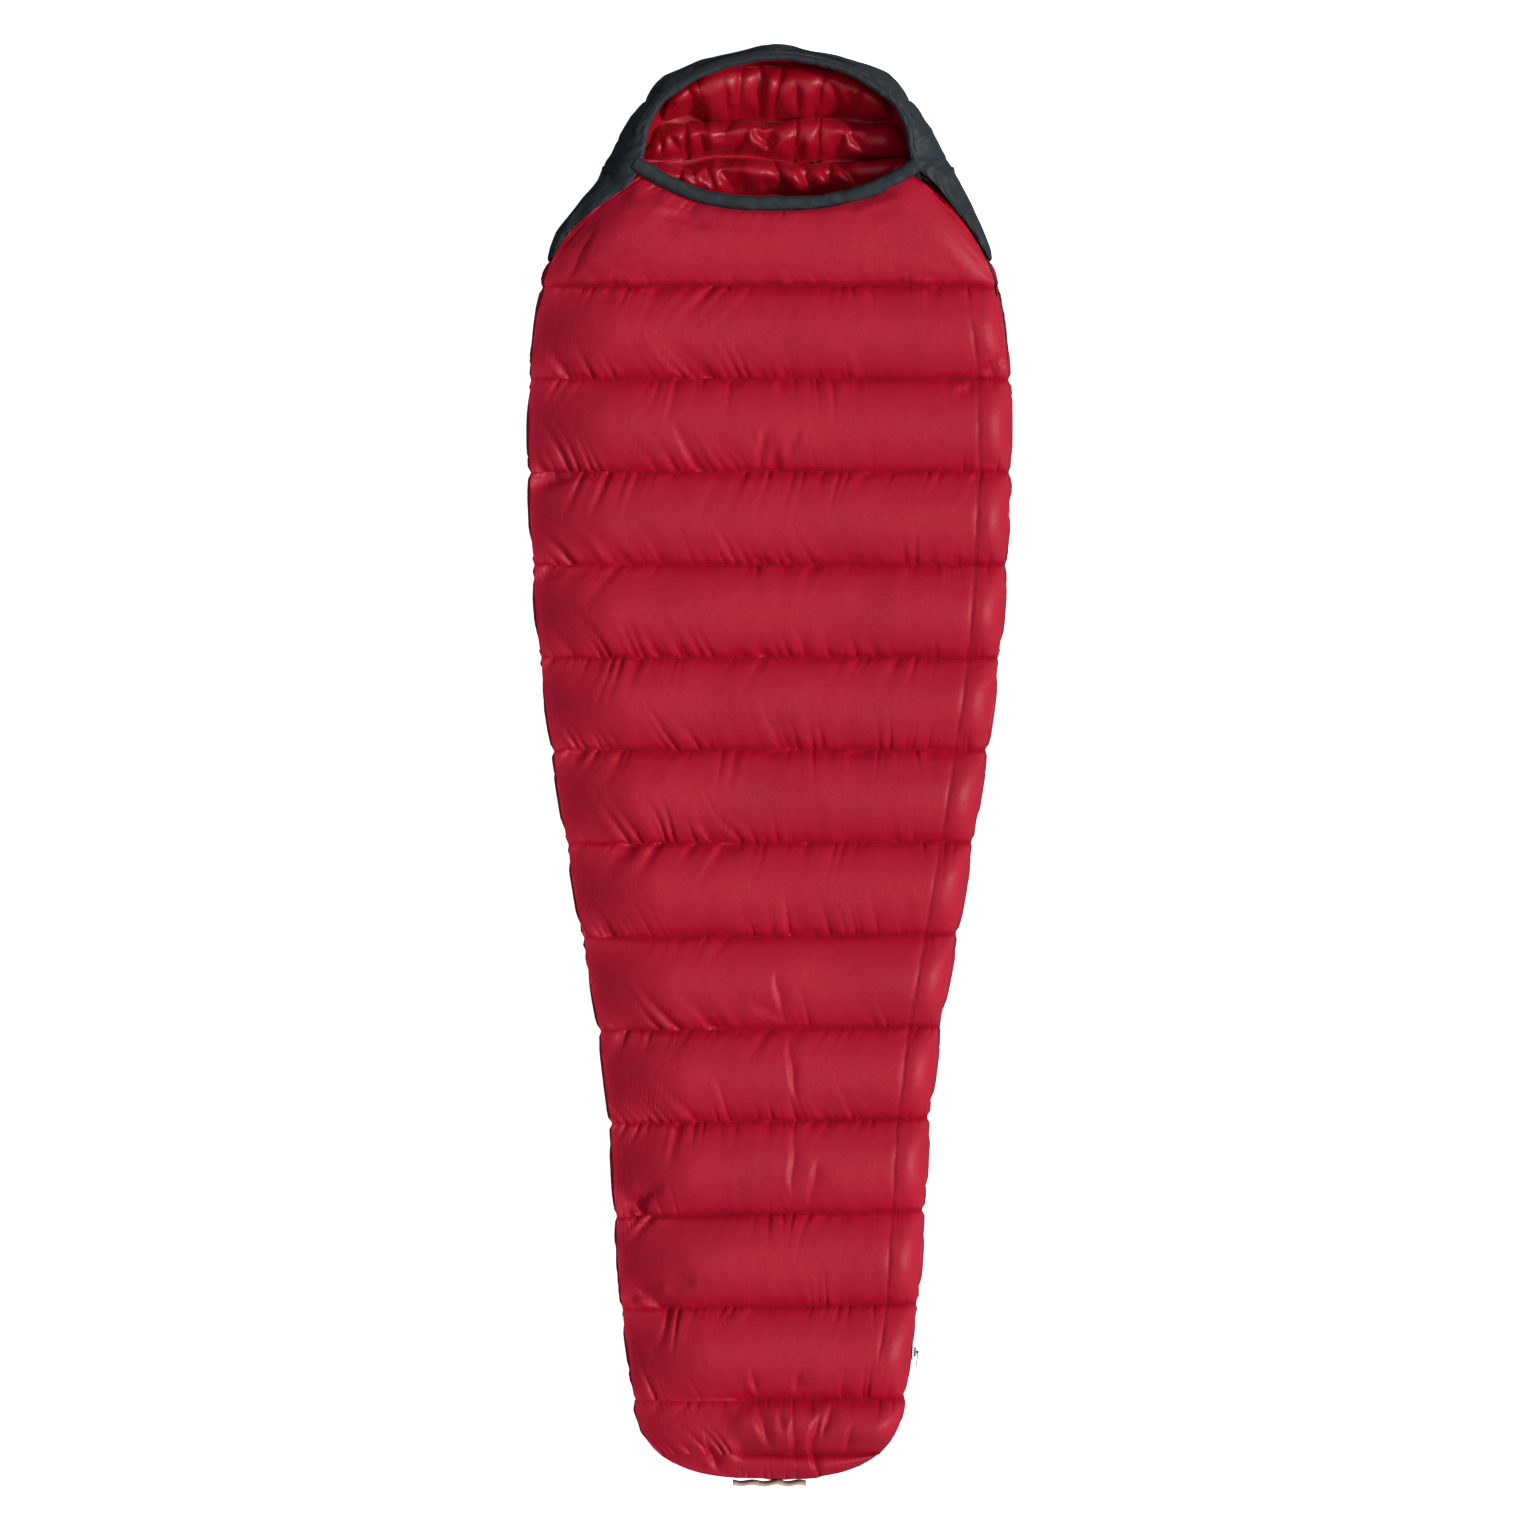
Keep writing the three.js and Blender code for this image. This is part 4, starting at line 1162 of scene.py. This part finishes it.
def build_hood():
    outer, inner, (first, second) = hood_surface()
    spans = {
        "hood_panel_right": (0, first),
        "hood_crown": (first, second),
        "hood_panel_left": (second, HOOD_COLUMNS),
    }
    for node, (start, end) in spans.items():
        part = slice(start, end + 1)
        piece = pad(node + "_cloth", outer[:, part], inner[:, part], CHARCOAL, LINING)
        finish_piece(piece, "charcoal_nylon", [node])


build_hood()

# The lining tubes on the hood's floor.
LINING_SEAMS = np.array([719, 808, 865, 920]) * MM
LINING_WIDTH = np.array([286, 246, 214, 180]) * MM
LINING_COLUMNS = 190
LINING_ROWS = 20
LINING_VALLEY = 5 * MM
LINING_PUFF = 50 * MM
LINING_GAP = 0.13  # the share of a tube's width that lies flat beside its seams
LINING_FLOOR_Z = 6 * MM
LINING_TOP_Z = 84 * MM
PILLOW_PITCH = 62 * MM

# Folds in the lining tubes: start, end, width and depth in millimetres.
LINING_FOLDS = [
    ((-90, 906), (-121, 966), 7, 18),
    ((-61, 924), (-64, 968), 6, 11),
    ((-17, 918), (-14, 994), 8, 22),
    ((39, 926), (37, 972), 7, 13),
    ((115, 914), (82, 974), 7, 16),
    ((134, 918), (108, 962), 5, 12),
    ((156, 912), (177, 941), 6, 10),
    ((-136, 944), (-152, 912), 6, 10),
    ((66, 918), (60, 944), 5, 9),
    ((-92, 866), (-101, 902), 8, 17),
    ((-61, 864), (-32, 905), 8, 16),
    ((-24, 908), (6, 876), 7, 16),
    ((6, 906), (-5, 882), 5, 11),
    ((87, 867), (106, 902), 8, 16),
    ((114, 901), (137, 874), 6, 13),
    ((-125, 870), (-145, 898), 6, 12),
    ((40, 866), (48, 892), 6, 10),
    ((-71, 850), (-46, 814), 7, 16),
    ((-92, 851), (-78, 822), 6, 12),
    ((42, 852), (68, 811), 7, 16),
    ((73, 856), (105, 818), 6, 14),
    ((101, 856), (130, 825), 5, 12),
    ((-9, 838), (-2, 812), 6, 10),
]


def lining_half_width(y):
    """Half the width of the hood's floor at y."""
    return np.interp(y, LINING_SEAMS, LINING_WIDTH)


def pillows(x, v, chamber):
    """1 on a tube's bulges and 0 in the creases between them, which open towards its lower seam."""
    lean = 0.22 * noise(x / 0.12, chamber * 5.0, 85)
    place = x / PILLOW_PITCH + 0.37 * chamber + lean * (v - 0.5) * 2.0
    place += 0.75 * noise(x / 0.10, chamber * 4.0, 84)
    share = place - np.floor(place)
    distance = np.minimum(share, 1 - share)
    width = 0.09 + 0.20 * (1 - v) ** 2
    deep = smoothstep(0.75 + 0.6 * noise(np.round(place) * 1.7, chamber * 2.0, 86))
    return 1 - deep * np.exp(-((distance / width) ** 1.3)) * (1 - 0.55 * v)


def build_lining_tubes():
    """Four tubes across the hood's floor; the last one ends at the hood's crown."""
    u = spread_columns(LINING_COLUMNS, 1.1)
    rows, chambers, shares = [], [], []
    for k in range(4):
        for v in np.linspace(0, 1, LINING_ROWS + 1)[: None if k == 3 else -1]:
            if k < 3:
                level = lerp(LINING_SEAMS[k], LINING_SEAMS[k + 1], v)
                x = u * lining_half_width(level)
                y = np.full_like(x, level)
            else:
                x = u * LINING_WIDTH[3] * (1 - 0.06 * v)
                reach = np.clip(1 - np.abs(x / 0.181) ** 2.2, 0, 1) ** 0.6
                y = lerp(LINING_SEAMS[3], LINING_SEAMS[3] + 0.086 * reach, v)
            y = y + 8 * MM * noise(x / 0.045, k * 2.0 + v, 81)
            rows.append(np.stack([x, y, np.zeros_like(x)], 1))
            chambers.append(k)
            shares.append(v)
    grid, chambers, shares = np.array(rows), np.array(chambers), np.array(shares)
    v = shares[:, None]
    x = grid[..., 0]
    chamber = chambers[:, None]
    rise = 14 * MM * np.abs(u[None]) ** 3 + np.where(chamber == 3, 34 * MM * v, 0)
    edge = np.sqrt(np.clip(1 - np.abs(u[None]) ** 8, 0, 1))
    pillow = pillows(x, v, chamber)
    round_share = np.sqrt(np.clip(1 - ((2 * v - 1) / (1 - LINING_GAP)) ** 2, 0, 1))
    z = LINING_VALLEY + rise + LINING_PUFF * round_share * (0.75 + 0.3 * pillow)
    z += 2.5 * MM * noise(x / 0.02, chamber * 3.0 + v * 1.3, 83) * round_share
    grid[..., 2] = LINING_FLOOR_Z + (z - LINING_FLOOR_Z) * edge
    pins = seam_pins(grid, shares)
    surface = hood_lean(settle(grid, pins, 1.5, (0.03, 0.03), frames=14, cap=6 * MM))
    press_folds(surface, LINING_FOLDS)
    surface[..., 2] = np.maximum(soft_limit(surface[..., 2], LINING_TOP_Z), LINING_FLOOR_Z)
    starts = chamber_starts_of(chambers, 4)
    names = [f"hood_lining_tube_{k:02d}" for k in range(1, 5)]

    def flat(node, outer):
        inner = outer[few_rows(outer, 3)].copy()
        inner[..., 2] = MM
        return inner

    for node, piece in cut_chambers(surface, starts, names, "_cloth", flat, LINING):
        finish_piece(piece, "lining_nylon", [node])


build_lining_tubes()

# ---- Rim, chin rim and drawcord ----

RIM_WIDTH = 17 * MM
RIM_STEP = 2.6 * MM
RIM_TOP_Z = 120 * MM
CORD_Z = 116.4 * MM
CORD_RADIUS = 2.4 * MM
RIM_ROLL = 7 * MM  # how much of the rim's width shows; the rest slopes under the roof


def round_section(width, low, high, count, squareness=2.6):
    """A rounded band section: [outward, up] points round it."""
    angles = np.linspace(0, 2 * math.pi, count, endpoint=False)
    power = 2 / squareness
    across = np.sign(np.cos(angles)) * np.abs(np.cos(angles)) ** power
    up = np.sign(np.sin(angles)) * np.abs(np.sin(angles)) ** power
    return np.stack([width / 2 * (1 + across), (low + high) / 2 + (high - low) / 2 * up], 1)


def gathered(section, run, seed, depth, cell):
    """A section whose top and sides ripple along the band, as cloth on a drawn cord does."""
    middle = section.mean(0)

    def at(i, shape):
        angle = np.arctan2(shape[:, 1] - middle[1], shape[:, 0] - middle[0])
        ripple = noise(run[i] / cell + 0.8 * np.sin(angle), np.cos(angle) * 1.5 + 3, seed)
        slow = noise(run[i] / (cell * 4), np.cos(angle) + 3, seed + 1)
        return middle + (shape - middle) * (1 + depth[i] * (ripple + 0.6 * slow))[:, None]

    return at


def build_rim():
    _, inner_edge = hood_edges()
    first, last = len(SHOULDER_SEAM_Y), len(inner_edge) - 1 - len(SHOULDER_SEAM_Y)
    route = catmull(inner_edge, np.linspace(last + 0.1, first - 0.1, 400))
    path = raised(along(route, RIM_STEP))
    run = np.arange(len(path)) * RIM_STEP
    section = round_section(RIM_WIDTH, 102 * MM, RIM_TOP_Z, 28, 3.4)
    upper_outer = (section[:, 0] > RIM_ROLL) & (section[:, 1] > 111 * MM)
    section[upper_outer, 1] -= 0.9 * (section[upper_outer, 0] - RIM_ROLL)
    section[:, 0] = -section[:, 0] + 1.5 * MM
    near_right = np.exp(-((run[-1] - run) / 0.03) ** 2)
    depth = 0.10 + 0.12 * near_right
    rim = tube("hood_rim_band", path, section, CHARCOAL, gathered(section, run, 91, depth, 8 * MM))
    finish_piece(rim, "charcoal_nylon", ["hood_rim"])
    cord_path = path[4:-8].copy()
    cord_path[:, 2] = CORD_Z
    cord_section = round_section(2 * CORD_RADIUS, -CORD_RADIUS, CORD_RADIUS, 10, 2)
    cord_section[:, 0] = -cord_section[:, 0] - 5.1 * MM
    cord = tube("hood_drawcord_braid", cord_path, cord_section, CORD)
    finish_piece(cord, "cord", ["hood_drawcord"])


def build_chin_rim():
    x = np.linspace(*CHIN_ENDS, 400)
    path = raised(along(hood_lean(np.stack([x, chin_y(x)], 1)), RIM_STEP))
    run = np.arange(len(path)) * RIM_STEP
    section = round_section(CHIN_BAND + 1 * MM, 99.5 * MM, 124 * MM, 24, 3.2)
    near_right = np.exp(-((run[-1] - run) / 0.035) ** 2)
    near_left = np.exp(-(run / 0.03) ** 2)
    depth = 0.09 + 0.09 * near_right + 0.06 * near_left
    ripple = gathered(section, run, 95, depth, 11 * MM)
    band = tube("chin_rim_band", path, section, CHARCOAL, ripple)
    finish_piece(band, "charcoal_nylon", ["chin_rim", "chin_rim_flap"], fold=True)


build_rim()
build_chin_rim()

# ---- Zip ----

ZIP_Z = 95.5 * MM
ZIP_INSET = 4 * MM
ZIP_START = 1.019869  # the arc's angle at the chin
ZIP_FOOT = [(0.224, -0.5), (0.203, -0.851)]
TAPE_SIDES = (-1.1 * MM, 0.4 * MM)
TAPE_RIPPLE = 0.3 * MM
COIL_PITCH = 2.4 * MM
DRAFT_TUBE_Z = 82 * MM
DRAFT_TUBE_RADIUS = 11 * MM
DRAFT_TUBE_INSET = 79 * MM  # of its outer side from the zip
DRAFT_TUBE_ENDS = (-0.5, 0.795)
DRAFT_TUBE_STEP = 10 * MM


def zip_path():
    angles = np.linspace(ZIP_START, 0, 60)
    arc = ARC_CENTRE + ARC_RADIUS * np.stack([np.cos(angles), np.sin(angles)], 1)
    y = np.linspace(0.5, -0.4, 9)
    side = np.stack([half_width(y) - ZIP_INSET, y], 1)
    return np.concatenate([arc, side, ZIP_FOOT])


ZIP_PATH = zip_path()


def zip_tape(name, low, high):
    path = raised(along(ZIP_PATH[::-1], 6 * MM))
    inner, outer = TAPE_SIDES
    section = [(inner, low), (outer, low), (outer, high), (inner, high)]
    wave = TAPE_RIPPLE * noise(np.arange(len(path)) * 0.4, 1.0, 101)
    wave[[0, -1]] = 0
    return tube(name, path, section, TAPE, lambda i, points: points + [wave[i], 0])


def zip_teeth(name, low, high):
    """Half a coil: one rounded loop of the coil for each pitch of the zip."""
    path = along(ZIP_PATH, COIL_PITCH)
    ahead = np.gradient(path, axis=0)
    ahead /= np.linalg.norm(ahead, axis=1)[:, None]
    outward = np.stack([ahead[:, 1], -ahead[:, 0]], 1) * -1
    if outward[len(outward) // 2][0] < 0:
        outward = -outward
    angles = np.linspace(0, 2 * math.pi, 6, endpoint=False)
    loops, faces = [], []
    for place, out, on in zip(path, outward, ahead):
        first = len(loops)
        centre = place + out * 1.5 * MM
        for z in (low, high):
            for a in angles:
                point = centre + out * 0.8 * MM * math.cos(a) + on * 0.75 * MM * math.sin(a)
                loops.append((point[0], point[1], z))
        faces += ring_faces(len(angles), 2, first) + end_faces(len(angles), 2, first)
    return make_piece(name, np.array(loops), faces, [COIL])


def build_zip():
    """Tapes and coils of both sides. Each side: its parts, its tape's and its coil's heights."""
    sides = [
        ("back", ["back"], 85 * MM, 95.1 * MM, -3.4 * MM, -0.4 * MM),
        ("front", ["front", "flap"], 95.9 * MM, 106 * MM, 0.4 * MM, 3.4 * MM),
    ]
    for side, parts, low, high, below, above in sides:
        tape = zip_tape(f"zip_tape_{side}_woven", low, high)
        finish_piece(tape, "zip_tape", ["zip_tape_" + part for part in parts], fold=side == "front")
    for side, parts, low, high, below, above in sides:
        coil = zip_teeth(f"zip_coil_{side}_teeth", ZIP_Z + below, ZIP_Z + above)
        finish_piece(coil, "zip_coil", ["zip_coil_" + part for part in parts], fold=side == "front")


def build_draft_tube():
    route = along(ZIP_PATH[::-1], DRAFT_TUBE_STEP)
    keep = route[(route[:, 1] < DRAFT_TUBE_ENDS[1]) & (route[:, 1] > DRAFT_TUBE_ENDS[0])]
    path = raised(keep, DRAFT_TUBE_Z)
    run = np.arange(len(path)) * DRAFT_TUBE_STEP
    section = round_section(2 * DRAFT_TUBE_RADIUS, -DRAFT_TUBE_RADIUS, DRAFT_TUBE_RADIUS, 16, 2)
    section[:, 0] -= DRAFT_TUBE_INSET + DRAFT_TUBE_RADIUS
    ripple = gathered(section, run, 105, np.full(len(path), 0.09), 18 * MM)
    piece = tube("draft_tube_cloth", path, section, LINING, ripple)
    finish_piece(piece, "lining_nylon", ["draft_tube", "draft_tube_flap"], fold=True)


build_zip()
build_draft_tube()


def rounded_copy(node, ending, material, width, slot, body):
    """The node's own shape with rounded edges, named after it with an ending."""
    name = f"{node}_{ending}"
    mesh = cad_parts[node].data.copy()
    mesh.name = name
    mesh.materials.clear()
    mesh.materials.append(material)
    piece = add_object(name, mesh)
    weld = piece.modifiers.new("weld", "WELD")
    weld.merge_threshold = 0.02 * MM
    bevel = piece.modifiers.new("bevel", "BEVEL")
    bevel.width = width
    bevel.segments = 3
    bevel.limit_method = "ANGLE"
    bevel.angle_limit = math.radians(35)
    bpy.context.view_layer.update()
    evaluated = piece.evaluated_get(bpy.context.evaluated_depsgraph_get())
    final = bpy.data.meshes.new_from_object(evaluated)
    piece.modifiers.clear()
    piece.data = final
    final.polygons.foreach_set("use_smooth", [True] * len(final.polygons))
    final.set_sharp_from_angle(angle=math.radians(40))
    return finish_piece(piece, slot, [node], body=body)


for end in ("top", "foot"):
    slider, pull = f"zip_slider_{end}", f"zip_pull_{end}"
    rounded_copy(slider, "body", METAL, 0.5 * MM, "slider_metal", f"{end}_slider")
    rounded_copy(pull, "tab", METAL, 0.45 * MM, "slider_metal", f"{end}_pull")

# ---- Cordlock ----


def build_cordlock():
    look = (PLASTIC, 0.6 * MM, "cordlock_plastic")
    rounded_copy("cordlock_body", "shell", *look, "bag")
    rounded_copy("cordlock_button", "cap", *look, "cordlock_push")
    low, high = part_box("cordlock_spring")
    centre = (low + high) / 2
    radius = (high.x - low.x) / 2 - 0.5 * MM
    turns, wire = 5, 0.45 * MM
    angles = np.linspace(0, 2 * math.pi * turns, turns * 16)
    heights = np.linspace(low.z + wire, high.z - wire, len(angles))
    x, y = centre.x + radius * np.cos(angles), centre.y + radius * np.sin(angles)
    section = round_section(2 * wire, -wire, wire, 8, 2) - [wire, 0]
    piece = tube("cordlock_spring_wire", np.stack([x, y, heights], 1), section, STEEL)
    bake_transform(piece)  # the button squeezes it
    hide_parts("cordlock_spring")


build_cordlock()

# ---- Foot loop ----


def build_foot_loop():
    low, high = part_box("foot_hang_loop")
    x = np.linspace(low.x, high.x, 90)
    y = (low.y + high.y) / 2 + 1.1 * MM * np.sin(x / 0.0052) + 0.8 * MM * noise(x / 0.012, 1.0, 111)
    outline = [(0.6, 0), (0.6, 13), (-0.6, 13), (-0.6, 0)]
    lean = 0.5
    points = [
        (px, py + dy * MM - lean * dz * MM, low.z + dz * MM)
        for px, py in zip(x, y) for dy, dz in outline
    ]
    faces = ring_faces(4, len(x)) + end_faces(4, len(x))
    piece = make_piece("foot_hang_loop_tape", points, faces, [LOOP])
    finish_piece(piece, "loop_tape", ["foot_hang_loop"])


build_foot_loop()

# ---- Stitches ----

STITCH = 3.2 * MM
STITCH_PITCH = 4.4 * MM
THREAD_RADIUS = 0.35 * MM
THREAD_LIFT = [0, 0, 0.5 * MM]


def stitches(name, paths):
    """Rows of single stitches that lie along paths of [x, y, z] points."""
    points, faces = [], []
    for path in paths:
        places = along(path, STITCH_PITCH)
        for a, b in zip(places[:-1], places[1:]):
            ahead = (b - a) / np.linalg.norm(b - a)
            side = np.cross(ahead, [0, 0, 1.0])
            side /= np.linalg.norm(side)
            up = np.cross(side, ahead)
            faces += ring_faces(4, 4, len(points)) + end_faces(4, 4, len(points))
            for along_share, swell in ((0, 0.4), (0.25, 1), (0.75, 1), (1, 0.4)):
                centre = a + ahead * STITCH * along_share
                for angle in (0.25, 0.75, 1.25, 1.75):
                    turn = angle * math.pi
                    spoke = side * math.cos(turn) + up * math.sin(turn)
                    points.append(centre + THREAD_RADIUS * swell * spoke)
    piece = make_piece(name, np.array(points), faces, [THREAD])
    finish_piece(piece, "shell_nylon", fold=True)


def seam_threads():
    paths = [front_surface[row] for row in chamber_starts[1 : BAFFLES + 2]]
    cap = front_surface[chamber_starts[BAFFLES + 2]]
    paths.append(cap[cap_seam_depth(cap[:, 0]) > 0.9])
    line = []
    for row in front_surface:
        level = row[:, 1].mean()
        target = half_width(level) - STITCH_INSET
        if STITCH_END_Y < level < STITCH_TOP_Y:
            line.append([np.interp(target, row[:, 0], row[:, k]) for k in range(3)])
    paths.append(np.array(line))
    stitches("seam_thread_front", [path + THREAD_LIFT for path in paths])


seam_threads()

# ---- Floor and light ----


FLOOR_REACH = 12
LIGHT_SIDE = (0.70, -0.03, 0.71)  # the bright side of the studio, on the zip side


def add_floor():
    material, _, shader = new_material("floor")
    shader.inputs["Base Color"].default_value = (0.93, 0.93, 0.93, 1)
    shader.inputs["Roughness"].default_value = 0.9
    shader.inputs["Emission Color"].default_value = (1, 1, 1, 1)
    shader.inputs["Emission Strength"].default_value = 1.0
    mesh = bpy.data.meshes.new("floor")
    corners = FLOOR_REACH * np.array([(-1, -1, 0), (1, -1, 0), (1, 1, 0), (-1, 1, 0)])
    mesh.from_pydata(corners.tolist(), [], [[0, 1, 2, 3]])
    mesh.materials.append(material)
    floor = add_object("floor", mesh)
    floor.visible_diffuse = False
    floor.visible_glossy = False


def add_sun(strength, softness):
    data = bpy.data.lights.new("key", "SUN")
    data.energy = strength
    data.angle = math.radians(softness)
    sun = add_object("key", data)
    sun.rotation_mode = "QUATERNION"
    sun.rotation_quaternion = Vector(LIGHT_SIDE).to_track_quat("Z", "Y")


def add_world():
    """A white studio that is bright on one side and dim on the other."""
    world = bpy.data.worlds.new("studio")
    world.use_nodes = True
    tree = world.node_tree
    direction = add_node(tree, "ShaderNodeTexCoord").outputs["Generated"]
    sides = {0: direction, 1: LIGHT_SIDE}
    facing = add_node(tree, "ShaderNodeVectorMath", sides, operation="DOT_PRODUCT").outputs["Value"]
    span = {"Value": facing, "From Min": -0.5, "From Max": 1.0, "To Min": 0.05, "To Max": 0.6}
    level = add_node(tree, "ShaderNodeMapRange", span)
    tree.links.new(level.outputs["Result"], tree.nodes["Background"].inputs["Strength"])
    tree.nodes["Background"].inputs["Color"].default_value = (1, 1, 1, 1)
    bpy.context.scene.world = world


add_floor()
add_sun(strength=1.75, softness=9)
add_world()
bpy.context.scene.view_settings.view_transform = "Standard"
